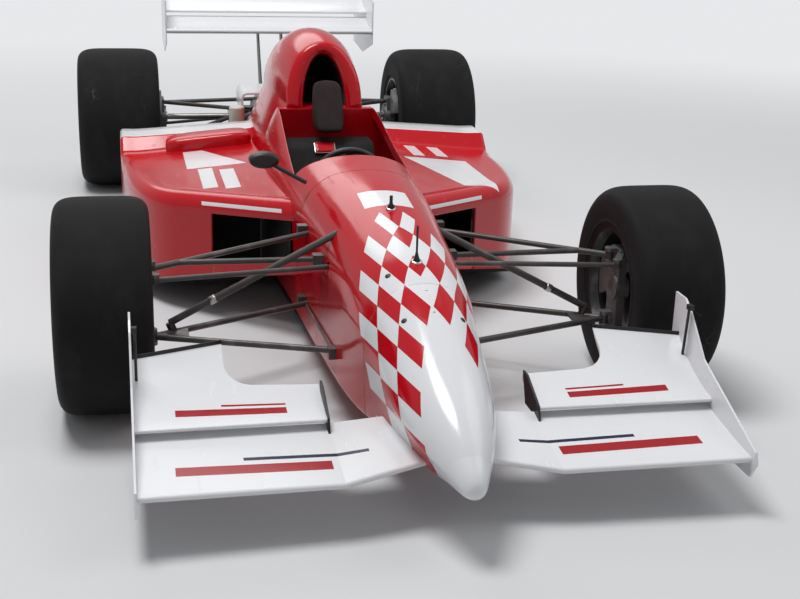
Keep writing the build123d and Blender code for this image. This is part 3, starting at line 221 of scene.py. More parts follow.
class Graph(Tree):
    """One material and the nodes that make it."""

    def __init__(self, name: str) -> None:
        """Start an empty material with its shader and output.

        Args:
            name: The material's name.
        """
        self.material = bpy.data.materials.new(name)
        self.material.use_nodes = True
        super().__init__(self.material.node_tree)
        self.shader = self.node("BsdfPrincipled")
        self.output = self.node("OutputMaterial", inputs={"Surface": self.shader.outputs["BSDF"]})
        self.output.is_active_output = True

    def value(self, kind: str, settings: dict | None = None, inputs: dict | None = None,
              output: int | str = 0) -> Value:
        """Add one node and wrap one of its outputs as a value."""
        return Value(self, self.node(kind, settings, inputs).outputs[output])

    def math(self, operation: str, *terms: Number) -> Value:
        """Add one Math node over up to three terms."""
        return self.value("Math", {"operation": operation}, dict(enumerate(terms)))

    def mix(self, mask: Number, first: object, second: object) -> bpy.types.NodeSocket:
        """Blend two colours or colour sockets, with the second where the mask is 1."""
        colour_mix = {"data_type": "RGBA"}
        return self.node("Mix", colour_mix, {0: mask, 6: first, 7: second}).outputs[2]

    def place(self) -> Place:
        """Object coordinates of the shaded point, with Y turned into a station.

        Returns:
            The point's place.
        """
        coordinates = self.node("TexCoord").outputs["Object"]
        x, y, z = (Value(self, part) for part in self.node("SeparateXYZ", inputs={0: coordinates}).outputs)
        return Place(x, y - Layout.front_axle_y, z)

    def centred(self, centre: Iterable[float],
                stretch: Iterable[float] = (1.0, 1.0, 1.0)) -> bpy.types.NodeSocket:
        """Object coordinates measured from a centre and stretched along each axis.

        Args:
            centre: Point that becomes the zero.
            stretch: Factor on each axis.

        Returns:
            The moved coordinates' socket.
        """
        coordinates = self.node("TexCoord").outputs["Object"]
        offset = tuple(-part * factor for part, factor in zip(centre, stretch))
        moved = {"Vector": coordinates, "Location": offset, "Scale": tuple(stretch)}
        return self.node("Mapping", inputs=moved).outputs[0]

    def noise(self, scale: float, detail: float = 3.0, stretch: Iterable[float] = (1.0, 1.0, 1.0),
              centre: Iterable[float] = (0.0, 0.0, 0.0)) -> Value:
        """Cloudy noise on object coordinates.

        Args:
            scale: Blobs per metre.
            detail: Octaves of finer noise.
            stretch: Factor on the scale along each axis.
            centre: Point that the pattern is measured from.

        Returns:
            The noise, mostly between 0.3 and 0.7.
        """
        vector = self.centred(centre, stretch)
        inputs = {"Vector": vector, "Scale": scale, "Detail": detail, "Roughness": 0.55}
        return self.value("TexNoise", inputs=inputs)

    def cells(self, scale: float) -> Value:
        """Distance to the nearest of scattered points, in cells."""
        inputs = {"Vector": self.centred((0.0, 0.0, 0.0)), "Scale": scale}
        return self.value("TexVoronoi", inputs=inputs)

    def rounded(self, radius: float) -> bpy.types.NodeSocket:
        """Normal that rounds the edges between faces by a radius."""
        return self.node("Bevel", {"samples": 6}, {"Radius": radius}).outputs[0]

    def bump(self, height: Value, distance: float, normal: bpy.types.NodeSocket | None = None,
             strength: float = 1.0) -> bpy.types.NodeSocket:
        """Normal bent by a height.

        Args:
            height: The height, from 0 to 1.
            distance: Metres that a height of 1 stands for.
            normal: Normal to start from.
            strength: Share of the bend that is used.

        Returns:
            The bent normal's socket.
        """
        inputs = {"Height": height, "Distance": distance, "Strength": strength}
        if normal is not None:
            inputs["Normal"] = normal
        return self.node("Bump", inputs=inputs).outputs[0]

    def dress(self, **inputs: object) -> bpy.types.Material:
        """Set the shader's inputs.

        Args:
            inputs: Numbers, colours, values or sockets by input name, with _ for a space.

        Returns:
            The material.
        """
        for name, source in inputs.items():
            self.feed(self.shader.inputs[name.replace("_", " ")], source)
        return self.material


class Layout:
    """Places that the sub-assemblies share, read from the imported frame."""

    front_axle_y = 0.0
    wheels: dict[str, Vector] = {}

    @classmethod
    def read(cls, joints: list[dict]) -> None:
        """Take the wheel centres and the front axle from the record's joints.

        Args:
            joints: The joints, each with its name and pos_m.
        """
        for joint in joints:
            if joint["name"].startswith("spin_"):
                cls.wheels[joint["name"].removeprefix("spin_")] = Vector(joint["pos_m"])
        cls.front_axle_y = cls.wheels["front_left"].y

    @classmethod
    def at(cls, x: float, station: float, z: float) -> np.ndarray:
        """Point of the frame from X, station and height."""
        return np.array([x, station + cls.front_axle_y, z])

    @classmethod
    def points(cls, x: np.ndarray, station: np.ndarray, z: np.ndarray) -> np.ndarray:
        """Points of the frame from arrays of X, station and height."""
        return np.stack(np.broadcast_arrays(x, station + cls.front_axle_y, z), axis=-1)


# Finishes


@dataclass(frozen=True)
class Finish:
    """A surface finish with a name and a first colour."""

    name: str
    colour: Colour = (0.5, 0.5, 0.5)

    def build(self) -> bpy.types.Material:
        """Make the finish's material."""
        raise NotImplementedError


@dataclass(frozen=True)
class Paint(Finish):
    """Glossy sprayed paint with soft dust, fine scratches and a few chips."""

    colour: Colour = (0.50, 0.003, 0.010)
    second: Colour = (0.76, 0.77, 0.79)
    chip: Colour = (0.06, 0.05, 0.05)
    chalk: Colour = (0.45, 0.40, 0.38)
    dust: Colour = (0.34, 0.31, 0.28)
    roughness: float = 0.12
    edge: float = 0.004
    wear: float = 1.0

    def pattern(self, graph: Graph, place: Place) -> bpy.types.NodeSocket | Colour:
        """Colour of the fresh paint over the surface."""
        return self.colour

    def build(self) -> bpy.types.Material:
        """Lay dust, scratches and chips over the pattern, and give the gloss an orange peel.

        Returns:
            The material.
        """
        graph = Graph(self.name)
        fresh = self.pattern(graph, graph.place())
        clouds = (graph.noise(2.2, 4.0) - 0.5).highest(0.0)
        faded = graph.mix(clouds * 0.06 * self.wear, fresh, self.chalk)
        streak = graph.noise(34.0, 2.0, (1.0, 0.12, 1.0)).ramp(0.62, 0.75)
        dusted = graph.mix(streak * 0.05 * self.wear, faded, self.dust)
        chips = (1.0 - graph.cells(60.0).ramp(0.035, 0.055)) * graph.noise(5.0, 2.0).ramp(0.62, 0.68)
        chipped = graph.mix(chips * 0.8 * self.wear, dusted, self.chip)
        gloss = graph.noise(6.0, 5.0).ramp(0.35, 0.8) * 0.10 + self.roughness + streak * 0.12
        peel = graph.bump(graph.noise(160.0, 1.0), 0.0002, graph.rounded(self.edge), 0.35)
        return graph.dress(Base_Color=chipped, Roughness=gloss + chips * 0.4, Normal=peel, IOR=1.5,
                           Specular_IOR_Level=0.42)


@dataclass(frozen=True)
class CheckerPaint(Paint):
    """Red body paint with a white and red checker of slanted diamonds over the nose.

    Two families of slanted lines cross on the skin, mirrored about the middle. Each is a
    count that grows by 1 from line to line, worked out from the distance to the middle,
    the height and the station. A diamond is red where the two counts add up to even.
    """

    middle: float = -0.003
    across_lines: tuple[float, float, float, float] = (8.436, 14.35, -16.25, -2.411)
    along_lines: tuple[float, float, float, float] = (5.77, 10.1, -4.88, 5.89)
    drift_from: float = -0.50
    drift: float = 0.12
    last_right: float = 9.0
    last_left: float = 5.0
    flank: float = 3.0
    top: float = -0.7
    plaque_x: Pair = (-0.074, 0.080)
    plaque_station: Pair = (0.018, 0.156)
    plaque_z: float = 0.5

    def count(self, place: Place, terms: tuple[float, float, float, float]) -> Value:
        """Number of a line family at a point.

        Args:
            place: The shaded point.
            terms: The count at zero, then its rates over X, height and station.

        Returns:
            The count.
        """
        start, out, up, back = terms
        ahead = (self.drift_from - place.station).highest(0.0) * (place.x > self.middle)
        reach = abs(place.x - self.middle) - ahead * self.drift
        return reach * out + place.z * up + place.station * back + start

    def pattern(self, graph: Graph, place: Place) -> bpy.types.NodeSocket:
        """Checker between the red flanks and the white tip, and a blank white plaque.

        Args:
            graph: The material's nodes.
            place: The shaded point.

        Returns:
            The colour's socket.
        """
        across = self.count(place, self.across_lines)
        along = self.count(place, self.along_lines)
        checker = (across.floor() + along.floor()).odd()
        right = place.x < self.middle
        last = right * (self.last_right - self.last_left) + self.last_left
        tip = (along < 0.0).highest(graph.math("GREATER_THAN", across, last))
        body = (along > self.flank).highest(across < self.top)
        inside = place.x.between(*self.plaque_x) * place.station.between(*self.plaque_station)
        white = (checker.highest(tip) * (1.0 - body)).highest(inside * (place.z > self.plaque_z))
        return graph.mix(white, self.colour, self.second)


@dataclass(frozen=True)
class PodPaint(Paint):
    """Red body paint with a white tail, and plain white blocks and stripes.

    Each block is (side, inner x, outer x, front station, rear station, slant), where the
    slant moves the inner edge outwards towards the rear. The stripe along the inlet's lip
    is a band of depths below the plane that the lip's edge lies in.
    """

    tail_station: float = 1.814
    tail_z: float = 0.452
    deck_z: float = 0.40
    blocks: tuple[tuple[float, float, float, float, float, float], ...] = (
        (-1.0, 0.31, 0.545, 1.315, 1.66, 0.45),
        (-1.0, 0.37, 0.425, 0.90, 1.24, 0.0),
        (-1.0, 0.45, 0.505, 0.94, 1.29, 0.0),
        (1.0, 0.475, 0.615, 0.90, 1.42, -0.24),
        (1.0, 0.405, 0.455, 1.47, 1.69, 0.0),
        (1.0, 0.51, 0.56, 1.49, 1.70, 0.0),
    )
    stripe_x: Pair = (0.262, 0.520)
    stripe_drop: Pair = (0.022, 0.034)
    stripe_depth: float = 0.02
    lip_root: Triple = (0.241, 0.482, 0.105)
    front_edge: Triple = (0.205, 0.505, 0.93)

    def pattern(self, graph: Graph, place: Place) -> bpy.types.NodeSocket:
        """White on the tail, on each block and in one stripe along the inlet's upper lip.

        Args:
            graph: The material's nodes.
            place: The shaded point.

        Returns:
            The colour's socket.
        """
        white = (place.station > self.tail_station) * (place.z > self.tail_z)
        for side, inner, outer, front, rear, slant in self.blocks:
            reach = place.x * side
            edge = reach - (place.station - front) * slant
            block_mask = (edge > inner) * (reach < outer) * place.station.between(front, rear)
            white = white.highest(block_mask * (place.z > self.deck_z))
        reach = abs(place.x)
        root_x, root_station, sweep = self.front_edge
        behind = place.station - (reach - root_x) * sweep - root_station
        lip_x, lip_z, fall = self.lip_root
        drop = lip_z - (reach - lip_x) * fall - place.z
        stripe = drop.between(*self.stripe_drop) * reach.between(*self.stripe_x)
        in_front = stripe * (behind < self.stripe_depth)
        return graph.mix(white.highest(in_front), self.colour, self.second)


@dataclass(frozen=True)
class WingPaint(Paint):
    """White wing paint with plain bars on the upper faces, mirrored about the middle.

    Each bar is (inner x, outer x, front station, rear station, colour).
    """

    bars: tuple[tuple[float, float, float, float, Colour], ...] = (
        (0.300, 0.690, -0.848, -0.808, (0.36, 0.004, 0.012)),
        (0.200, 0.520, -0.790, -0.776, (0.012, 0.012, 0.05)),
        (0.390, 0.680, -0.628, -0.600, (0.36, 0.004, 0.012)),
        (0.390, 0.560, -0.590, -0.582, (0.36, 0.004, 0.012)),
    )
    upward: float = 0.3

    def pattern(self, graph: Graph, place: Place) -> bpy.types.NodeSocket | Colour:
        """Lay the bars on faces that look up.

        Args:
            graph: The material's nodes.
            place: The shaded point.

        Returns:
            The colour's socket.
        """
        reach = abs(place.x)
        normal = graph.node("NewGeometry").outputs["Normal"]
        up = graph.value("SeparateXYZ", inputs={0: normal}, output=2) > self.upward
        colour = self.colour
        for inner, outer, front, rear, tint in self.bars:
            mask = reach.between(inner, outer) * place.station.between(front, rear) * up
            colour = graph.mix(mask, colour, tint)
        return colour


@dataclass(frozen=True)
class Rubber(Finish):
    """Worn slick tyre: grained tread with scuffs, smoother ringed walls."""

    colour: Colour = (0.0085, 0.0085, 0.009)
    worn: Colour = (0.028, 0.027, 0.026)
    scratch: Colour = (0.10, 0.095, 0.09)
    centre: Triple = (0.0, 0.0, 0.0)
    radius: float = 0.32
    tread_edge: Pair = (0.020, 0.006)

    def build(self) -> bpy.types.Material:
        """Mix tread and wall by the distance from the axle.

        Returns:
            The material.
        """
        graph = Graph(self.name)
        parts = graph.node("SeparateXYZ", inputs={0: graph.centred(self.centre)}).outputs
        _, ahead, up = (Value(graph, part) for part in parts)
        reach = (ahead * ahead + up * up) ** 0.5
        low, high = (self.radius - inset for inset in self.tread_edge)
        tread = reach.ramp(low, high)
        patches = graph.noise(7.0, 5.0, (1.6, 1.0, 1.0), self.centre).ramp(0.42, 0.72)
        curls = abs(graph.noise(9.0, 1.5, centre=self.centre) - 0.5).ramp(0.0012, 0.0035)
        scratches = (1.0 - curls) * graph.noise(5.0, 1.0).ramp(0.56, 0.64) * tread
        dusty = graph.mix(patches * 0.45 * (tread * 0.7 + 0.3), self.colour, self.worn)
        colour = graph.mix(scratches * 0.5, dusty, self.scratch)
        grain = graph.noise(420.0, 2.0) * 0.5 * tread
        rings = (reach * 900.0).sine() * (1.0 - tread) * 0.12
        height = grain + rings + graph.noise(60.0, 3.0) * 0.5
        return graph.dress(Base_Color=colour, Roughness=tread * 0.12 + 0.72 + patches * 0.1,
                           Normal=graph.bump(height, 0.0008), IOR=1.45, Specular_IOR_Level=0.28)


@dataclass(frozen=True)
class Metal(Finish):
    """Bare or painted metal with cast grain or turning marks and rubbed patches."""

    metallic: float = 1.0
    roughness: float = 0.4
    grain: float = 60.0
    relief: float = 0.0004
    edge: float = 0.002
    rubbed: Colour = (0.35, 0.34, 0.33)
    rub: float = 0.25
    soil: Colour = (0.02, 0.018, 0.016)

    def build(self) -> bpy.types.Material:
        """Mottle the colour, rub it brighter in patches and grain the surface.

        Returns:
            The material.
        """
        graph = Graph(self.name)
        patches = graph.noise(14.0, 4.0).ramp(0.52, 0.72)
        colour = graph.mix(patches * self.rub, self.colour, self.rubbed)
        fine = graph.noise(self.grain, 4.0)
        soiled = graph.mix(graph.noise(5.0, 5.0).ramp(0.45, 0.75) * 0.35, colour, self.soil)
        normal = graph.bump(fine, self.relief, graph.rounded(self.edge))
        return graph.dress(Base_Color=soiled, Metallic=self.metallic,
                           Roughness=fine * 0.2 + self.roughness - 0.1, Normal=normal)


@dataclass(frozen=True)
class Composite(Finish):
    """Black moulded composite or plastic with a satin skin and scuffed patches."""

    colour: Colour = (0.012, 0.012, 0.013)
    scuffed: Colour = (0.09, 0.085, 0.08)
    roughness: float = 0.42
    edge: float = 0.002

    def build(self) -> bpy.types.Material:
        """Dust and scuff the satin skin.

        Returns:
            The material.
        """
        graph = Graph(self.name)
        scuff = graph.noise(18.0, 5.0, (1.0, 0.4, 1.0)).ramp(0.55, 0.75)
        colour = graph.mix(scuff * 0.35, self.colour, self.scuffed)
        normal = graph.bump(graph.noise(220.0, 3.0), 0.0002, graph.rounded(self.edge))
        return graph.dress(Base_Color=colour, Roughness=scuff * 0.2 + self.roughness, Normal=normal)


@dataclass(frozen=True)
class Fins(Finish):
    """Radiator core of close upright fins between flat tubes, with painted shade in the gaps between fins.
    """

    colour: Colour = (0.018, 0.018, 0.018)
    painted_gap_shade: Colour = (0.004, 0.004, 0.004)
    tube: Colour = (0.04, 0.04, 0.04)
    pitch: float = 0.004
    tube_pitch: float = 0.012

    def build(self) -> bpy.types.Material:
        """Ridge the face by a sine across the car and line it by one up the core.

        Returns:
            The material.
        """
        graph = Graph(self.name)
        place = graph.place()
        ridge = (place.x * (TURN / self.pitch)).sine() * 0.5 + 0.5
        rows = ((place.z * (TURN / self.tube_pitch)).sine() * 0.5 + 0.5).ramp(0.8, 1.0)
        # The gaps between the fins take a darker colour: painted shade.
        lined = graph.mix(rows * 0.4, graph.mix(ridge, self.painted_gap_shade, self.colour), self.tube)
        return graph.dress(Base_Color=lined, Metallic=0.6, Roughness=graph.noise(30.0) * 0.3 + 0.4,
                           Normal=graph.bump(ridge, 0.001))


@dataclass(frozen=True)
class MilkyPlastic(Finish):
    """Milky bottle plastic, yellowed in patches."""

    colour: Colour = (0.62, 0.60, 0.52)
    stained: Colour = (0.42, 0.36, 0.24)

    def build(self) -> bpy.types.Material:
        """Stain the plastic and soften its gloss.

        Returns:
            The material.
        """
        graph = Graph(self.name)
        stain = graph.noise(26.0, 3.0).ramp(0.45, 0.7)
        colour = graph.mix(stain * 0.5, self.colour, self.stained)
        return graph.dress(Base_Color=colour, Roughness=stain * 0.2 + 0.3, Normal=graph.rounded(0.004))


class Weave(Enum):
    """How a soft covering's surface is made."""

    PLAIN = "plain"
    HIDE = "hide"


@dataclass(frozen=True)
class Covering(Finish):
    """Cloth or hide over padding, with a sewn seam down the middle where it has one."""

    weave: Weave = Weave.PLAIN
    pitch: float = 0.0016
    light: Colour = (0.10, 0.03, 0.035)
    roughness: float = 0.85
    sheen: float = 0.12
    seam: bool = False
    seam_width: Pair = (0.0008, 0.0022)

    def build(self) -> bpy.types.Material:
        """Cross two thread waves, or crack a hide with cells.

        Returns:
            The material.
        """
        graph = Graph(self.name)
        place = graph.place()
        if self.weave is Weave.PLAIN:
            warp = (place.x * (TURN / self.pitch)).sine()
            weft = ((place.z + place.station * 0.35) * (TURN / self.pitch)).sine()
            height = warp * weft * 0.5 + 0.5
        else:
            height = graph.cells(420.0)
        if self.seam:
            height = height - (1.0 - abs(place.x).ramp(*self.seam_width)) * 2.0
        worn = graph.noise(24.0, 4.0).ramp(0.45, 0.75)
        colour = graph.mix(worn * 0.4 + height * 0.15, self.colour, self.light)
        return graph.dress(Base_Color=colour, Roughness=worn * 0.1 + self.roughness - 0.05,
                           Normal=graph.bump(height, 0.0004), Sheen_Weight=self.sheen, Sheen_Roughness=0.5)


class Finishes:
    """Every finish of the car, built once and found by name."""

    RED = Paint("red_body_paint", edge=0.006)
    CHECKER = CheckerPaint("checker_body_paint", edge=0.006)
    PODS = PodPaint("pod_paint", edge=0.006)
    HOOP = Paint("roll_hoop_paint", edge=0.016)
    WHITE = Paint("white_wing_paint", colour=(0.76, 0.77, 0.79), roughness=0.16, edge=0.0015, wear=0.6)
    WINGS = WingPaint("barred_wing_paint", colour=(0.76, 0.77, 0.79), roughness=0.16, edge=0.0015, wear=0.6)
    BLACK = Composite("black_composite")
    # Near-black finish that stands in as painted shade: inside the pod shells, on the panels in the inlets
    # and in the roll hoop's cup.
    SHADE_LINING = Composite("painted_shade_lining", (0.004, 0.004, 0.004), roughness=0.8)
    STEEL = Metal("suspension_paint", (0.075, 0.070, 0.067), metallic=0.2, roughness=0.38, grain=90.0)
    CAST = Metal("cast_metal", (0.20, 0.20, 0.20), metallic=0.9, roughness=0.55, grain=240.0, relief=0.0008)
    RIM = Metal("dark_rim_metal", (0.05, 0.05, 0.052), metallic=0.7, roughness=0.35, grain=180.0)
    HUB = Metal("machined_hub_metal", (0.30, 0.29, 0.28), metallic=1.0, roughness=0.35, grain=300.0)
    SILVER = Metal("bright_fitting_metal", (0.55, 0.55, 0.54), metallic=1.0, roughness=0.28, grain=200.0)
    CORE = Fins("radiator_core")
    BOTTLE = MilkyPlastic("bottle_plastic")
    REST = Covering("headrest_cloth", (0.010, 0.0015, 0.0025), light=(0.022, 0.005, 0.007), sheen=0.02,
                    seam=True)
    SEAT = Covering("seat_cloth", (0.002, 0.002, 0.002), light=(0.008, 0.008, 0.008), sheen=0.02)
    GRIP = Covering("grip_hide", (0.014, 0.014, 0.014), weave=Weave.HIDE, light=(0.05, 0.05, 0.05),
                    roughness=0.5)

    _built: dict[str, bpy.types.Material] = {}

    @classmethod
    def material(cls, finish: Finish) -> bpy.types.Material:
        """Material of a finish, made when it is first asked for.

        Args:
            finish: The finish.

        Returns:
            Its material.
        """
        if finish.name not in cls._built:
            cls._built[finish.name] = finish.build()
        return cls._built[finish.name]

    @classmethod
    def dress(cls, piece: bpy.types.Object, finish: Finish) -> None:
        """Put one finish on every slot of a piece.

        Args:
            piece: The object.
            finish: The finish that it wears.
        """
        material = cls.material(finish)
        if not piece.material_slots:
            piece.data.materials.append(material)
        for slot in piece.material_slots:
            slot.material = material


# Meshes


def enclosed_volume(points: np.ndarray, quads: np.ndarray) -> float:
    """Volume inside quads, negative where they face inwards.

    Each quad is two triangles, and each triangle adds a sixth of its triple product.

    Args:
        points: Array of shape (n, 3).
        quads: Array of shape (m, 4) of point numbers.

    Returns:
        The volume in cubic metres.
    """
    a, b, c, d = (points[quads[:, corner]] for corner in range(4))
    return float(np.einsum("ij,ij->", a, np.cross(b, c)) + np.einsum("ij,ij->", a, np.cross(c, d))) / 6


def grid_faces(points: np.ndarray, round_sides: bool, round_path: bool) -> list[list[int]]:
    """Faces of one grid of points, turned so that they look outwards.

    Args:
        points: Array of shape (rows, sides, 3).
        round_sides: Whether each row is a closed ring.
        round_path: Whether the last row meets the first.

    Returns:
        Point numbers of each face, row after row, with the two end caps last.
    """
    rows, sides, _ = points.shape
    index = np.arange(rows * sides).reshape(rows, sides)
    if round_sides:
        index = np.hstack([index, index[:, :1]])
    if round_path:
        index = np.vstack([index, index[:1]])
    corners = [index[:-1, :-1], index[1:, :-1], index[1:, 1:], index[:-1, 1:]]
    quads = np.stack(corners, axis=-1).reshape(-1, 4)
    faces = quads.tolist()
    if round_sides and not round_path:
        faces.append(index[0, :-1].tolist())
        faces.append(index[-1, :-1][::-1].tolist())
    flat = points.reshape(-1, 3)
    if enclosed_volume(flat - flat.mean(axis=0), quads) < 0:
        faces = [face[::-1] for face in faces]
    return faces


def surface(name: str, points: Union[np.ndarray, list[np.ndarray]], round_sides: bool = True,
            round_path: bool = False) -> bpy.types.Object:
    """Mesh of one or more grids of points, each row after row along a path.

    Neighbouring rows are joined by quads. A grid that is round in its sides closes each row
    on itself, and one face closes each of its end rows, unless it is round in its path and
    the last row meets the first.

    Args:
        name: The object's name.
        points: Array of shape (rows, sides, 3), in metres, or a list of such arrays.
        round_sides: Whether each row is a closed ring.
        round_path: Whether the last row meets the first.

    Returns:
        The new object, linked to the scene.
    """
    grids = points if isinstance(points, list) else [points]
    vertices, faces = [], []
    for grid in grids:
        first = len(vertices)
        faces += [[first + corner for corner in face] for face in grid_faces(grid, round_sides, round_path)]
        vertices += grid.reshape(-1, 3).tolist()
    mesh = bpy.data.meshes.new(name)
    mesh.from_pydata(vertices, [], faces)
    mesh.validate()
    mesh.shade_smooth()
    piece = bpy.data.objects.new(name, mesh)
    bpy.context.scene.collection.objects.link(piece)
    return piece


def ring(sides: int) -> np.ndarray:
    """Angles of even steps round a section."""
    return np.linspace(0, TURN, sides, endpoint=False)


def raised(wave: np.ndarray, power: float) -> np.ndarray:
    """Keep a wave's sign and raise its size to 2 / power, as a superellipse does."""
    return np.sign(wave) * np.abs(wave) ** (2 / power)


def tube(path: np.ndarray, radius: float, sides: int, squash: float, up: Iterable[float] = (0.0, 0.0, 1.0),
         power: float = 2.0) -> np.ndarray:
    """Ellipse or rounded rectangle carried along a path.

    Args:
        path: Array of points of shape (n, 3).
        radius: Half the section's width.
        sides: Points round the section.
        squash: The section's height as a share of its width.
        up: Direction that the section's second axis keeps near.
        power: 2 for an ellipse, and more for squarer sections.

    Returns:
        Grid of shape (n, sides, 3).
    """
    along = np.gradient(path, axis=0)
    along /= np.linalg.norm(along, axis=1, keepdims=True)
    first = np.cross(along, np.asarray(tuple(up), float))
    first /= np.linalg.norm(first, axis=1, keepdims=True)
    second = np.cross(first, along)
    wide = raised(np.cos(ring(sides)), power)[None, :, None]
    high = raised(np.sin(ring(sides)), power)[None, :, None] * squash
    return path[:, None] + radius * (wide * first[:, None] + high * second[:, None])


def lathe(profile: np.ndarray, centre: np.ndarray, axis: Iterable[float], sides: int) -> np.ndarray:
    """Profile of (distance along, radius) turned about an axis.

    Args:
        profile: Array of shape (n, 2).
        centre: Point on the axis that distances start from.
        axis: Direction of the axis.
        sides: Steps round the axis.

    Returns:
        Grid of shape (n, sides, 3).
    """
    axis = np.array(tuple(axis), float)
    axis /= np.linalg.norm(axis)
    helper = np.array([0.0, 0.0, 1.0]) if abs(axis[2]) < 0.9 else np.array([0.0, 1.0, 0.0])
    first = np.cross(helper, axis)
    first /= np.linalg.norm(first)
    second = np.cross(axis, first)
    spoke = np.cos(ring(sides))[:, None] * first + np.sin(ring(sides))[:, None] * second
    return centre + profile[:, None, :1] * axis + profile[:, None, 1:] * spoke


def stud(centre: np.ndarray, normal: Iterable[float], radius: float, height: float,
         sides: int = 20) -> np.ndarray:
    """Low dome on a surface: a quarter ellipse turned about the normal, with a short foot.

    Args:
        centre: Middle of the dome's foot.
        normal: Direction that the dome points in.
        radius: Radius of the foot.
        height: Rise of the dome, and depth of its foot.
        sides: Steps round the dome.

    Returns:
        Grid of shape (8, sides, 3).
    """
    rise = np.linspace(0, math.pi / 2, 7)
    dome = np.stack([height * np.sin(rise), radius * np.cos(rise) + 1e-5], axis=1)
    return lathe(np.vstack([[(-height, radius)], dome]), centre, normal, sides)


def block(low: np.ndarray, high: np.ndarray, power: float, rows: int, sides: int) -> np.ndarray:
    """Box with rounded edges, as a superellipsoid of a high power.

    Each coordinate is the cosine or sine of an angle raised to 2 / power with its sign kept.

    Args:
        low: Lowest corner.
        high: Highest corner.
        power: Sharpness of the edges.
        rows: Steps from the bottom to the top.
        sides: Steps round the box.

    Returns:
        Grid of shape (rows, sides, 3).
    """
    lift = np.linspace(-0.985, 0.985, rows)[:, None] * math.pi / 2
    turn = ring(sides)[None, :]
    across, up = raised(np.cos(lift), power), raised(np.sin(lift), power)
    round_x, round_y = across * raised(np.cos(turn), power), across * raised(np.sin(turn), power)
    unit = np.stack(np.broadcast_arrays(round_x, round_y, up), axis=-1)
    return (low + high) / 2 + (high - low) / 2 * unit


# Sub-assemblies


class SubAssembly:
    """Pieces that are made, dressed and tied to the frame together."""

    def keep(self, piece: bpy.types.Object, finish: Finish, slot: str, replaced: Iterable[str] = (),
             body: str = "chassis") -> None:
        """Dress a new piece and tie it to the frame.

        Args:
            piece: The new object.
            finish: Its finish.
            slot: The record's material slot for its finish. Not used.
            replaced: Frame nodes that it stands for.
            body: The body that it rides on.
        """
        Finishes.dress(piece, finish)
        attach(piece, body)
        if replaced:
            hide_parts(*replaced)
        LOG.info("%s rides on %s with %d faces", piece.name, body, len(piece.data.polygons))

    def line(self, piece: bpy.types.Object, columns: np.ndarray, finish: Finish) -> None:
        """Give some columns of a piece's grid a second finish.

        Args:
            piece: A piece made by surface, whose faces run row by row.
            columns: True where a column of faces takes the second finish.
            finish: The second finish.
        """
        piece.data.materials.append(Finishes.material(finish))
        index = np.resize(columns.astype(np.int32), len(piece.data.polygons))
        piece.data.polygons.foreach_set("material_index", index)

    def build(self) -> None:
        """Make every piece of the sub-assembly."""
        raise NotImplementedError


@dataclass
class Tyres(SubAssembly):
    """The four slick tyres, with rounded shoulders and a ridge beside each rim."""

    bead_radius: float = 0.1905
    wall_bulge: float = 0.008
    bead_inset: float = 0.006
    bead_width: float = 0.024
    carcass: float = 0.034
    liner_inset: float = 0.020
    wall_middle_rise: float = 0.004
    shoulder_power: float = 5.5
    tread_power: float = 2.6
    ridge: float = 0.0035
    ridge_rise: float = 0.022
    ridge_width: float = 0.0035
    sides: int = 160

    def section(self, half: float, radius: float) -> np.ndarray:
        """Closed outline of a tyre.

        The outside is a superellipse from wall to wall over the tread, below it each wall is
        a quarter ellipse down to its bead, and a soft ridge rings the wall above the bead.

        Args:
            half: Half the tyre's width.
            radius: The tread's radius.

        Returns:
            Array of (distance from the middle, radius).
        """
        wall = (self.bead_radius + radius) / 2 + self.wall_middle_rise
        bead_x = half - self.wall_bulge - self.bead_inset
        turn = np.linspace(0, math.pi, 57)
        over_x = half * raised(np.cos(turn), self.shoulder_power)
        over_r = wall + (radius - wall) * raised(np.sin(turn), self.tread_power)
        down = np.linspace(0, 1, 25)[1:]
        side_r = wall + (self.bead_radius - wall) * down
        above = (side_r - self.bead_radius - self.ridge_rise) / self.ridge_width
        side_x = bead_x + (half - bead_x) * np.sqrt(np.clip(1 - down**2, 0, 1))
        side_x = side_x + self.ridge * np.exp(-(above**2))
        inner_x, inner_r = half - self.liner_inset, radius - self.carcass
        inner = np.array([
            (-bead_x + self.bead_width, self.bead_radius),
            (-inner_x, inner_r),
            (inner_x, inner_r),
            (bead_x - self.bead_width, self.bead_radius),
        ])
        right = np.stack([side_x[::-1], side_r[::-1]], axis=1)
        left = np.stack([-side_x, side_r], axis=1)
        return np.vstack([right, np.stack([over_x, over_r], axis=1), left, inner])

    def build(self) -> None:
        """Turn each wheel's section about its axle."""
        for name, centre in Layout.wheels.items():
            low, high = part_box(f"tyre_{name}")
            half, radius = (high.x - low.x) / 2, (high.z - low.z) / 2
            grid = lathe(self.section(half, radius), np.array(centre), (1.0, 0.0, 0.0), self.sides)
            piece = surface(f"slick_tyre_{name}", grid, round_path=True)
            finish = Rubber(f"tyre_rubber_{name}", centre=tuple(centre), radius=radius)
            self.keep(piece, finish, "tyre_rubber", (f"tyre_{name}",), f"wheel_{name}")


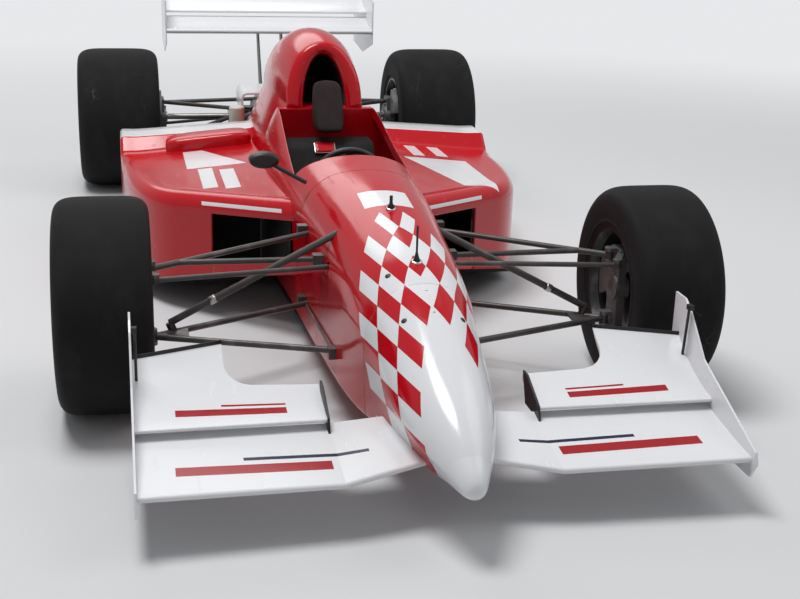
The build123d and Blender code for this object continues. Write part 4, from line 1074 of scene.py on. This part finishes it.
@dataclass
class Sidepods(SubAssembly):
    """Both sidepods, whose decks roll over one long curve into the walls.

    In plan the outline is a straight front edge, a cubic Bezier curve round the corner
    and a straight side. Each row of the shell is a closed section: deck, roll and wall
    outside, and the same lines one skin further in, whose faces wear near-black painted
    shade. Plan points are (x, station).
    """

    skin: float = 0.012
    roll: float = 0.052
    tail_roll: float = 0.014
    roll_fade: Pair = (1.60, 1.76)
    crest: float = 0.005
    crest_width: float = 0.035
    joint: float = 0.006
    joint_width: float = 0.014
    tub_gap: float = 0.004
    lip: float = 0.058
    front_root: Pair = (0.205, 0.505)
    corner: tuple[Pair, ...] = ((0.61, 0.882), (0.725, 0.989), (0.795, 1.19), (0.80, 1.75))
    tail_stations: Triple = (1.88, 1.93, 1.980)
    inlet_outer: float = 0.490
    inlet_step: float = 0.001
    deck_points: tuple[Triple, ...] = ((0.241, 0.386, 0.482), (0.743, 1.090, 0.420), (0.276, 1.780, 0.452))
    shell_root: tuple[Pair, ...] = (
        (0.219, 0.34), (0.233, 0.64), (0.245, 0.985), (0.242, 1.33), (0.234, 1.60),
        (0.228, 1.83), (0.220, 1.98),
    )
    tub_side: tuple[Pair, ...] = ((0.219, 0.34), (0.233, 0.64), (0.245, 0.985), (0.248, 1.33))
    kick_start: float = 1.742
    kick_end: float = 1.815
    kick_outer: Pair = (0.79, 0.464)
    kick_inner: Pair = (0.25, 0.500)
    throat: float = 1.090
    floor_z: float = 0.052
    floor_rise: float = 0.32
    lower_lip: float = 0.066
    lip_power: float = 5.0
    blister_x: Pair = (-0.612, -0.252)
    blister_station: Pair = (1.688, 1.846)
    blister_height: float = 0.056
    blister_power: float = 5.0
    # Sizes of the near-black panel of painted shade beside the tub in each inlet.
    shade_panel_run: Pair = (0.548, 1.330)
    shade_panel_foot: float = 0.006
    shade_panel_top: float = 0.452
    shade_panel_gap: float = 0.005
    shade_panel_skin: float = 0.002

    def plane(self, x: np.ndarray, station: np.ndarray) -> np.ndarray:
        """Height of the flat deck, on the plane through its three points.

        Args:
            x: Distances from the car's middle.
            station: Stations.

        Returns:
            Heights of the same shape.
        """
        first, second, third = (np.array(point) for point in self.deck_points)
        normal = np.cross(second - first, third - first)
        return first[2] - (normal[0] * (x - first[0]) + normal[1] * (station - first[1])) / normal[2]

    def height(self, x: np.ndarray, station: np.ndarray) -> np.ndarray:
        """Height of the deck, a plane that kicks up at its tail.

        Args:
            x: Distances from the car's middle.
            station: Stations.

        Returns:
            Heights of the same shape.
        """
        plane = self.plane(x, station)
        (outer, outer_z), (inner, inner_z) = self.kick_outer, self.kick_inner
        top = outer_z + (inner_z - outer_z) * (outer - x) / (outer - inner)
        kick = np.clip((station - self.kick_start) / (self.kick_end - self.kick_start), 0, 1)
        return plane + (top - plane) * kick

    def underside(self, station: np.ndarray) -> np.ndarray:
        """Lower edge of the walls, which rises forwards of the throat."""
        return self.floor_z + self.floor_rise * np.clip(self.throat - station, 0, None)

    def outline(self) -> tuple[np.ndarray, np.ndarray]:
        """Plan of the left pod's edge and its outward normals.

        Returns:
            Points and unit normals, each of shape (n, 2) as (x, station).
        """
        start, turn_in, turn_out, end = (np.array(point) for point in self.corner)
        root = np.array(self.front_root)
        split = (self.inlet_outer - root[0]) / (start[0] - root[0])
        inlet = np.linspace(0, split - self.inlet_step, 24)
        beside = np.linspace(split + self.inlet_step, 1, 10)[:-1]
        front = root + np.concatenate([inlet, beside])[:, None] * (start - root)
        t = np.linspace(0, 1, 72)[:, None]
        curve = (1 - t) ** 3 * start + 3 * (1 - t) ** 2 * t * turn_in
        curve = curve + 3 * (1 - t) * t**2 * turn_out + t**3 * end
        stations = np.concatenate([np.linspace(end[1], self.kick_end + 0.01, 16)[1:], self.tail_stations])
        side = np.stack([np.full_like(stations, end[0]), stations], axis=1)
        points = np.vstack([front, curve, side])
        along = np.gradient(points, axis=0)
        along /= np.linalg.norm(along, axis=1, keepdims=True)
        return points, np.stack([along[:, 1], -along[:, 0]], axis=1)

    def skin_line(self, inset: float) -> np.ndarray:
        """Rows of the deck, roll and wall, drawn in by an inset from the outside.

        Args:
            inset: Distance inwards from the outer face.

        Returns:
            Grid of shape (rows, points, 3), from the tub to the wall's lower edge.
        """
        edge, normal = self.outline()
        roll = np.interp(edge[:, 1], self.roll_fade, [self.roll, self.tail_roll])[:, None]
        begin = edge - roll * normal
        begin_x, begin_s = begin[:, :1], begin[:, 1:]
        root_x, root_s = np.array(self.shell_root).T
        tub_x = np.minimum(np.interp(begin_s, root_s, root_x), begin_x - self.tub_gap)
        deck_x = tub_x + (begin_x - tub_x) * np.linspace(0, 1, 26)[None, :-1]
        deck_s = np.broadcast_to(begin_s, deck_x.shape)
        swell = self.crest * np.exp(-(((begin_x - deck_x) / self.crest_width) ** 2))
        swell = swell + self.joint * np.exp(-(((deck_x - tub_x) / self.joint_width) ** 2))
        deck_z = self.height(deck_x, deck_s) - inset + swell
        angle = np.linspace(0, math.pi / 2, 14)[None, :]
        reach = roll - inset
        roll_x = begin_x + reach * np.sin(angle) * normal[:, :1]
        roll_s = begin_s + reach * np.sin(angle) * normal[:, 1:]
        roll_z = self.height(begin_x, begin_s) - roll + (reach + self.crest) * np.cos(angle)
        wall_top = roll_z[:, -1:]
        inlet_low = wall_top + self.roll - self.lip
        lowest = np.where(edge[:, :1] < self.inlet_outer, inlet_low, self.underside(edge[:, 1:]))
        wall_z = wall_top + (lowest - wall_top) * np.linspace(0, 1, 12)[None, 1:]
        wall_x = np.broadcast_to(roll_x[:, -1:], wall_z.shape)
        wall_s = np.broadcast_to(roll_s[:, -1:], wall_z.shape)
        rows = ([deck_x, roll_x, wall_x], [deck_s, roll_s, wall_s], [deck_z, roll_z, wall_z])
        return Layout.points(*(np.hstack(row) for row in rows))

    def shell(self) -> tuple[np.ndarray, np.ndarray]:
        """Closed sections of the left pod, outside and then back along the inside.

        Returns:
            Grid of the sections, and which of its columns are the inside, which wears painted shade.
        """
        outside, inside = self.skin_line(0.0), self.skin_line(self.skin)
        columns = np.arange(outside.shape[1] * 2) >= outside.shape[1]
        return np.hstack([outside, inside[:, ::-1]]), columns

    def lower_lip_grid(self) -> np.ndarray:
        """Slab under the inlet, a rounded strip that follows the front edge.

        Returns:
            Grid of the left pod's lip.
        """
        edge, normal = self.outline()
        kept = edge[:, 0] < self.inlet_outer
        edge, normal = edge[kept], normal[kept]
        turn = ring(24)[None, :]
        across = raised(np.cos(turn), self.lip_power) * self.skin / 2 - self.skin / 2
        up = raised(np.sin(turn), self.lip_power) * self.lower_lip / 2 + self.lower_lip / 2
        place = edge[:, None] + across[..., None] * normal[:, None]
        return Layout.points(place[..., 0], place[..., 1], self.underside(edge[:, 1:]) + up)

    def inlet_shade_panel_grid(self) -> np.ndarray:
        """Near-black panel beside the tub from the inlet back, as rings of four points: painted shade inside
        the inlet.

        Returns:
            Grid of the left pod's panel.
        """
        station = np.linspace(*self.shade_panel_run, 24)
        side_x, side_s = np.array(self.tub_side).T
        outer = np.interp(station, side_s, side_x) + self.shade_panel_gap
        inner = outer - self.shade_panel_skin
        low = self.underside(station) + self.shade_panel_foot
        high = np.full_like(station, self.shade_panel_top)
        across, up = np.stack([outer, outer, inner, inner], axis=1), np.stack([low, high, high, low], axis=1)
        return Layout.points(across, station[:, None], up)

    def blister(self) -> np.ndarray:
        """Raised box with soft edges on the right pod, standing on its deck.

        Returns:
            Grid of the box.
        """
        (x0, x1), (s0, s1) = self.blister_x, self.blister_station
        low, high = Layout.at(x0, s0, -self.blister_height), Layout.at(x1, s1, self.blister_height)
        grid = block(low, high, self.blister_power, 33, 72)
        grid[..., 2] += self.plane(-grid[..., 0], grid[..., 1] - Layout.front_axle_y)
        return grid

    def build(self) -> None:
        """Make both shells with their lips, their painted-shade insides and panels, and the right pod's
        blister.
        """
        shell, shaded_inside = self.shell()
        lip, panel = self.lower_lip_grid(), self.inlet_shade_panel_grid()
        for name, side in SIDES:
            mirror = np.array([side, 1.0, 1.0])
            pod = surface(f"sidepod_shell_{name}", shell * mirror)
            self.keep(pod, Finishes.PODS, "red_paint", (f"sidepod_{name}",))
            # The inside columns of each shell wear near-black painted shade.
            self.line(pod, shaded_inside, Finishes.SHADE_LINING)
            self.keep(surface(f"inlet_lip_{name}", lip * mirror), Finishes.RED, "red_paint")
            # Near-black panel beside the tub: painted shade inside the inlet.
            self.keep(surface(f"inlet_shade_panel_{name}", panel * mirror), Finishes.SHADE_LINING, "black_composite")
        self.keep(surface("pod_blister", self.blister()), Finishes.RED, "red_paint")


@dataclass
class RollHoop(SubAssembly):
    """Fat rolled rim round the hoop's mouth, and a near-black cup behind it that is painted shade inside the
    mouth.

    Both outlines are superellipses on the hoop's leaning front, the outer one over the
    waist and the inner one over the base. Each is (half width, top).
    """

    base_z: float = 0.668
    waist_z: float = 0.690
    outer: Pair = (0.146, 0.900)
    outer_growth: Pair = (0.0105, 0.019)
    outer_power: float = 2.1
    inner: Pair = (0.089, 0.880)
    inner_power: float = 2.0
    front_station: float = 1.3173
    lean: float = 0.084
    lean_height: float = 0.245
    bulge: float = 0.020
    depth: float = 0.045
    overlap: float = 0.0025
    shade_cup_end: float = 1.640
    shade_cup_skin: float = 0.003
    shade_cup_gap: float = 0.004
    shade_cup_shrink: float = 0.15
    shade_cup_close: float = 0.02
    shade_cup_inner_run: float = 0.985

    def leaning(self, x: np.ndarray, z: np.ndarray) -> np.ndarray:
        """Points on the hoop's leaning front from their X and height."""
        return Layout.points(x, self.front_station + self.lean * (z - self.base_z) / self.lean_height, z)

    def arch(self) -> np.ndarray:
        """Angles over the arch, from the left foot to the right."""
        return np.linspace(0, math.pi, 73)

    def mouth(self, inset: float = 0.0) -> np.ndarray:
        """Inner outline.

        Args:
            inset: Distance that the outline is drawn in by.

        Returns:
            Array of points from the left foot to the right.
        """
        half, top = self.inner
        x = (half - inset) * raised(np.cos(self.arch()), self.inner_power)
        rise = raised(np.sin(self.arch()), self.inner_power)
        return self.leaning(x, self.base_z + inset + (top - self.base_z - 2 * inset) * rise)

    def cover_edge(self) -> np.ndarray:
        """Outer outline, where the leaning front meets the cover's skin.

        The skin widens and rises behind the front, so its size is found in three rounds
        from the height that each point had in the round before.

        Returns:
            Array of points from the left foot to the right.
        """
        turn = self.arch()
        share = np.sin(turn)
        for _ in range(3):
            half = self.outer[0] + self.outer_growth[0] * share
            top = self.outer[1] + self.outer_growth[1] * share
            z = self.waist_z + (top - self.waist_z) * raised(np.sin(turn), self.outer_power)
            share = (z - self.base_z) / self.lean_height
        z[[0, -1]] = self.base_z
        return self.leaning(half * raised(np.cos(turn), self.outer_power), z)

    def rim(self) -> np.ndarray:
        """Half ellipse between the outlines in front, and a deeper one behind.

        Returns:
            Grid of the rim.
        """
        outer, inner = self.cover_edge(), self.mouth()
        reach = (outer - inner) / 2
        reach *= 1 + self.overlap / np.linalg.norm(reach, axis=1, keepdims=True)
        ahead = np.array([0.0, -self.lean_height, self.lean])
        ahead /= np.linalg.norm(ahead)
        turn = ring(40)[None, :, None]
        push = np.where(np.sin(turn) > 0, self.bulge, self.depth) * np.sin(turn)
        return ((outer + inner) / 2)[:, None] + np.cos(turn) * reach[:, None] + push * ahead

    def shade_cup_row(self, outline: np.ndarray, share: float, size: float) -> np.ndarray:
        """Outline moved back along the cup and shrunk to its middle.

        Args:
            outline: Array of points at the mouth.
            share: Share of the cup's length.
            size: Share of the outline's size that is left.

        Returns:
            The moved points.
        """
        middle = np.array([0.0, 0.0, (self.base_z + self.inner[1]) / 2])
        moved = middle + (outline - middle) * np.array([size, 1.0, size])
        end_y = self.shade_cup_end + Layout.front_axle_y
        moved[:, 1] = outline[:, 1] + self.shade_cup_gap + (end_y - outline[:, 1]) * share
        return moved

    def shade_cup(self) -> np.ndarray:
        """Near-black cup with a thin wall, painted shade inside the mouth: its rows run back outside, close
        up and return inside.

        Returns:
            Grid of the cup.
        """
        outside, inside = self.mouth(), self.mouth(self.shade_cup_skin)
        run = [(share, 1 - self.shade_cup_shrink * share) for share in np.linspace(0, 1, 12)]
        last = self.shade_cup_inner_run
        back = [self.shade_cup_row(outside, share, size) for share, size in run]
        back.append(self.shade_cup_row(outside, 1.0, self.shade_cup_close))
        front = [self.shade_cup_row(inside, last, self.shade_cup_close)]
        front += [self.shade_cup_row(inside, share * last, size) for share, size in run[::-1]]
        return np.stack(back + front)

    def build(self) -> None:
        """Make the rim and the painted-shade cup."""
        self.keep(surface("roll_hoop_rim", self.rim()), Finishes.RED, "red_paint")
        # Near-black cup in the hoop's mouth: painted shade.
        shade_cup = surface("roll_hoop_shade_cup", self.shade_cup(), round_path=True)
        self.keep(shade_cup, Finishes.SHADE_LINING, "black_composite")


@dataclass
class NoseCap(SubAssembly):
    """Round end of the nose over the nose cone's tip.

    From the seam at u = 0 to the tip at u = 1, width and height taper in a straight line
    and close over the last fifth as a superellipse does.
    """

    seam_station: float = -0.965
    tip_station: float = -1.0975
    half: float = 0.0768
    middle_z: float = 0.2185
    tip_z: float = 0.1845
    above: float = 0.0888
    below: float = 0.0632
    taper: float = 0.665
    end_power: float = 12.0
    end_root: float = 0.4

    def build(self) -> None:
        """Make the cap."""
        u = np.sin(np.linspace(0, math.pi / 2, 60))[:, None]
        shrink = (1 - self.taper * u) * np.clip(1 - u**self.end_power, 1e-5, None) ** self.end_root
        turn = ring(96)[None, :]
        high = np.where(np.sin(turn) > 0, self.above, self.below)
        z = self.middle_z + (self.tip_z - self.middle_z) * u + high * shrink * np.sin(turn)
        station = self.seam_station + (self.tip_station - self.seam_station) * u
        grid = Layout.points(self.half * shrink * np.cos(turn), station, z)
        self.keep(surface("nose_cap", grid), Finishes.CHECKER, "white_paint")


@dataclass
class Fittings(SubAssembly):
    """Small trim: flap edges, aerial feet, fasteners, rod bands and a blank plate.

    Points are (x, station, z), and a fastener's row ends with the skin's normal there.
    """

    flap_edge: tuple[Triple, Triple] = ((0.541, -0.366, 0.325), (0.785, -0.431, 0.315))
    flap_lip: float = 0.008
    flap_skin: float = 0.0018
    aerial_feet: tuple[Triple, Triple] = ((0.0, -0.384, 0.548), (0.0, -0.018, 0.6065))
    aerial_lean: Triple = (0.0, -0.3, 1.0)
    aerial_cone: tuple[Pair, ...] = (
        (-0.004, 0.010), (0.006, 0.009), (0.016, 0.0055), (0.026, 0.0035), (0.027, 0.001),
    )
    washer: Pair = (0.0155, 0.004)
    ovals: tuple[tuple[float, ...], ...] = (
        (-0.078, -0.597, 0.450, -0.60, -0.28, 0.75),
        (0.083, -0.598, 0.446, 0.60, -0.28, 0.75),
        (-0.086, -0.412, 0.517, -0.46, -0.30, 0.83),
    )
    oval: Pair = (0.0085, 0.003)
    pins: tuple[tuple[float, ...], ...] = (
        (0.0, -0.511, 0.505, 0.0, -0.34, 0.94),
        (0.002, -0.600, 0.473, 0.0, -0.34, 0.94),
    )
    pin: Pair = (0.004, 0.0025)
    rod_foot: Triple = (0.668, 0.040, 0.246)
    rod_head: Triple = (0.150, 0.013, 0.528)
    rod_radius: float = 0.0110
    band_at: float = 0.255
    band_length: float = 0.022
    band: tuple[Pair, ...] = (
        (-0.5, 1.0), (-0.5, 1.14), (-0.35, 1.22), (0.35, 1.22), (0.5, 1.14), (0.5, 1.0),
    )
    plate_centre: Triple = (-0.022, 1.1560, 0.5475)
    plate_lean: Pair = (0.043, 0.0375)
    plate_layers: tuple[Triple, Triple] = ((0.041, 0.027, 0.0015), (0.0375, 0.0235, 0.0024))

    def flap_edges(self) -> list[np.ndarray]:
        """Black upright strip along each flap's trailing edge.

        Returns:
            One grid for each side.
        """
        grids = []
        for _, side in SIDES:
            start, end = (Layout.at(side * x, station, z) for x, station, z in self.flap_edge)
            path = start + np.linspace(0, 1, 9)[:, None] * (end - start)
            grids.append(tube(path, self.flap_skin, 20, self.flap_lip / self.flap_skin, power=6))
        return grids

    def bands(self) -> list[np.ndarray]:
        """Bright sleeve on each front pushrod.

        Returns:
            One grid for each side.
        """
        grids = []
        for _, side in SIDES:
            foot = Layout.at(side * self.rod_foot[0], *self.rod_foot[1:])
            rod = Layout.at(side * self.rod_head[0], *self.rod_head[1:]) - foot
            profile = np.array(self.band) * np.array([self.band_length, self.rod_radius])
            grids.append(lathe(profile, foot + rod * self.band_at, rod, 32))
        return grids

    def plate(self) -> list[np.ndarray]:
        """Frame on the seat back and the blank plate in it.

        Returns:
            One grid for each of the two layers.
        """
        run, rise = self.plate_lean
        slope = np.array([0.0, run, rise]) / math.hypot(run, rise)
        grids = []
        for half_wide, half_high, thick in self.plate_layers:
            path = Layout.at(*self.plate_centre) + np.linspace(-half_high, half_high, 9)[:, None] * slope
            grids.append(tube(path, half_wide, 32, thick / half_wide, up=(0.0, -rise, run), power=8))
        return grids

    def studs(self, rows: Iterable[tuple[float, ...]], size: Pair) -> list[np.ndarray]:
        """Dome at each row's point, along its normal."""
        return [stud(Layout.at(*row[:3]), row[3:], *size) for row in rows]

    def build(self) -> None:
        """Make every fitting."""
        feet = [Layout.at(*foot) for foot in self.aerial_feet]
        washers = [stud(foot, self.aerial_lean, *self.washer, 28) for foot in feet]
        cones = [lathe(np.array(self.aerial_cone), foot, (0.0, 0.0, 1.0), 24) for foot in feet]
        frame, face = self.plate()
        for name, grids, finish, slot in (
            ("flap_edges", self.flap_edges(), Finishes.BLACK, "black_composite"),
            ("pushrod_bands", self.bands(), Finishes.SILVER, "suspension_steel"),
            ("aerial_washers", washers, Finishes.SILVER, "hub_metal"),
            ("aerial_cones", cones, Finishes.BLACK, "black_composite"),
            ("body_fasteners", self.studs(self.ovals, self.oval), Finishes.BLACK, "black_composite"),
            ("body_pins", self.studs(self.pins, self.pin), Finishes.SILVER, "hub_metal"),
            ("plate_frame", frame, Finishes.SILVER, "hub_metal"),
            ("plate_face", face, Finishes.HOOP, "red_paint"),
        ):
            self.keep(surface(name, grids), finish, slot)


@dataclass
class Headrest(SubAssembly):
    """Crowned pad that leans back, as its solid does.

    Each level is a superellipse. Its front edge moves back by the lean from the foot to the
    top, it swells by the crown half-way up, and a high power rounds the two ends.
    """

    crown: float = 0.005
    power: float = 7.0
    end_power: float = 10.0
    lean: float = 0.122

    def build(self) -> None:
        """Fit the pad into its solid's box."""
        low, high = (np.array(corner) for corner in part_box("headrest"))
        lift = np.linspace(0, 1, 41)[:, None]
        turn = ring(64)[None, :]
        half_x = (high[0] - low[0]) / 2
        close = np.sqrt(np.clip(1 - (2 * lift - 1) ** self.end_power, 0, 1))
        swell = 1 + self.crown / half_x * np.sin(math.pi * lift)
        front, back = low[1] + self.lean * lift, high[1]
        x = (half_x - self.crown) * raised(np.cos(turn), self.power) * close * swell
        y = (front + back) / 2 + (back - front) / 2 * close * raised(np.sin(turn), self.power)
        z = low[2] + (high[2] - low[2]) * lift
        piece = surface("headrest_pad", np.stack(np.broadcast_arrays(x, y, z), axis=-1))
        smooth = piece.modifiers.new("smooth", "SUBSURF")
        smooth.levels = smooth.render_levels = 1
        self.keep(piece, Finishes.REST, "headrest_cloth", ("headrest",))


@dataclass
class Studio:
    """Pale floor, soft lamps and the camera at the photographed view.

    Each lamp is (name, place, size, power).
    """

    floor_size: float = 60.0
    floor_fade: Pair = (3.4, 9.0)
    floor_colour: Colour = (0.66, 0.67, 0.68)
    floor_speckle: Colour = (0.60, 0.60, 0.61)
    sky: Colour = (0.80, 0.81, 0.83)
    ambient: float = 0.38
    mirrored_sky: float = 0.50
    lamp_rows: tuple[tuple[str, Triple, float, float], ...] = (
        ("key", (-1.8, -0.6, 8.0), 3.5, 450.0),
        ("fill", (5.0, -1.0, 5.5), 5.0, 90.0),
        ("rear", (-1.0, 6.5, 5.0), 5.0, 110.0),
    )
    eye: Triple = (-0.783, -5.079, 1.579)
    yaw: float = 12.43
    pitch: float = 18.38
    roll: float = 1.83
    lens: float = 58.14

    def floor(self) -> None:
        """Wide plane that shows the object's shadow and fades into the background."""
        line = np.linspace(-self.floor_size / 2, self.floor_size / 2, 3)
        x, y = np.meshgrid(line, line, indexing="ij")
        plane = surface("floor", np.stack([x, y, np.zeros_like(x)], axis=-1), round_sides=False)
        graph = Graph("floor_paint")
        colour = graph.mix(graph.noise(0.7, 2.0) * 0.1, self.floor_colour, self.floor_speckle)
        painted = graph.dress(Base_Color=colour, Roughness=0.9, Specular_IOR_Level=0.1)
        place = graph.place()
        far = (place.x * place.x + place.station * place.station) ** 0.5
        rays = graph.node("LightPath").outputs
        seen = Value(graph, rays["Is Camera Ray"]).highest(Value(graph, rays["Is Glossy Ray"]))
        glow = graph.node("Emission", inputs={"Color": self.sky}).outputs[0]
        faded = {0: far.ramp(*self.floor_fade) * seen, 1: graph.shader.outputs[0], 2: glow}
        graph.feed(graph.output.inputs["Surface"], graph.node("MixShader", inputs=faded).outputs[0])
        plane.data.materials.append(painted)
        plane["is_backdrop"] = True

    def world(self) -> None:
        """Pale background for the eye and reflections, and a weaker ambient light."""
        world = bpy.data.worlds.new("studio")
        bpy.context.scene.world = world
        world.use_nodes = True
        tree = Tree(world.node_tree)
        rays = tree.node("LightPath").outputs
        shown = tree.node("Background", inputs={0: self.sky, 1: self.ambient}).outputs[0]
        for ray, strength in (
            ("Is Glossy Ray", self.mirrored_sky),
            ("Is Transmission Ray", self.mirrored_sky),
            ("Is Camera Ray", 1.0),
        ):
            light = tree.node("Background", inputs={0: self.sky, 1: strength}).outputs[0]
            shown = tree.node("MixShader", inputs={0: rays[ray], 1: shown, 2: light}).outputs[0]
        tree.node("OutputWorld", inputs={0: shown})

    def lamps(self) -> None:
        """Large soft lamps above the nose, to the left and behind."""
        for name, spot, size, power in self.lamp_rows:
            data = bpy.data.lights.new(name, "AREA")
            data.shape = "DISK"
            data.size = size
            data.energy = power
            lamp = bpy.data.objects.new(name, data)
            bpy.context.scene.collection.objects.link(lamp)
            lamp.location = spot
            lamp.rotation_euler = (-Vector(spot)).to_track_quat("-Z", "Y").to_euler()

    def camera(self) -> None:
        """Camera turned by yaw, pitch and roll, looking down the car's right side."""
        yaw, pitch, roll = (math.radians(angle) for angle in (self.yaw, self.pitch, self.roll))
        ahead = Vector((math.sin(yaw) * math.cos(pitch), math.cos(yaw) * math.cos(pitch), -math.sin(pitch)))
        level = Vector((math.cos(yaw), -math.sin(yaw), 0.0))
        up = level.cross(ahead)
        right = math.cos(roll) * level + math.sin(roll) * up
        top = -math.sin(roll) * level + math.cos(roll) * up
        data = bpy.data.cameras.new("camera")
        data.lens = self.lens
        camera = bpy.data.objects.new("camera", data)
        bpy.context.scene.collection.objects.link(camera)
        turned = Matrix((right, top, -ahead)).transposed().to_4x4()
        camera.matrix_world = Matrix.Translation(Vector(self.eye)) @ turned
        bpy.context.scene.camera = camera

    def build(self) -> None:
        """Set the stage."""
        self.floor()
        self.world()
        self.lamps()
        self.camera()
        bpy.context.scene.view_settings.view_transform = "Standard"


NODE_FINISHES: dict[Finish, tuple[str, ...]] = {
    Finishes.CHECKER: ("nose_cone", "monocoque", "cockpit_surround"),
    Finishes.HOOP: ("engine_cover",),
    Finishes.WHITE: ("front_wing_endplates", "rear_wing_planes", "rear_wing_endplates", "tail_fairing"),
    Finishes.WINGS: ("front_wing_planes", "front_wing_flaps"),
    Finishes.BLACK: (
        "dash_panel", "underbody", "diffuser", "mirror", "rear_wing_pylons", "wing_brackets", "aerials",
    ),
    Finishes.STEEL: ("front_wishbones", "rear_wishbones", "pushrods", "steering_rack"),
    Finishes.CAST: ("gearbox", "engine_block", "front_upright_left", "front_upright_right", "rear_uprights"),
    Finishes.RIM: tuple(f"rim_{corner}" for corner in CORNERS),
    Finishes.HUB: tuple(f"hub_{corner}" for corner in CORNERS),
    Finishes.CORE: ("radiators",),
    Finishes.BOTTLE: ("header_bottle",),
    Finishes.SEAT: ("seat",),
    Finishes.GRIP: ("steering_wheel",),
}


def dress_frame(nodes: dict[str, bpy.types.Object]) -> None:
    """Put each frame node's finish on it.

    Args:
        nodes: The frame's objects by node name.
    """
    for finish, names in NODE_FINISHES.items():
        for name in names:
            Finishes.dress(nodes[name], finish)
            LOG.info("%s wears %s", name, finish.name)


def main() -> list[list[float]]:
    """Load the frame and build every sub-assembly.

    Returns:
        The frame's box as it was loaded.
    """
    logging.basicConfig(level=logging.INFO, format="%(name)s: %(message)s")
    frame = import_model()
    frame_box = [list(corner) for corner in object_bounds()]
    Layout.read(frame["joints"])
    Studio().build()
    dress_frame(frame["nodes"])
    for assembly in (Tyres(), Sidepods(), RollHoop(), NoseCap(), Fittings(), Headrest()):
        assembly.build()
    return frame_box


if __name__ == "__main__":
    loaded_box = main()
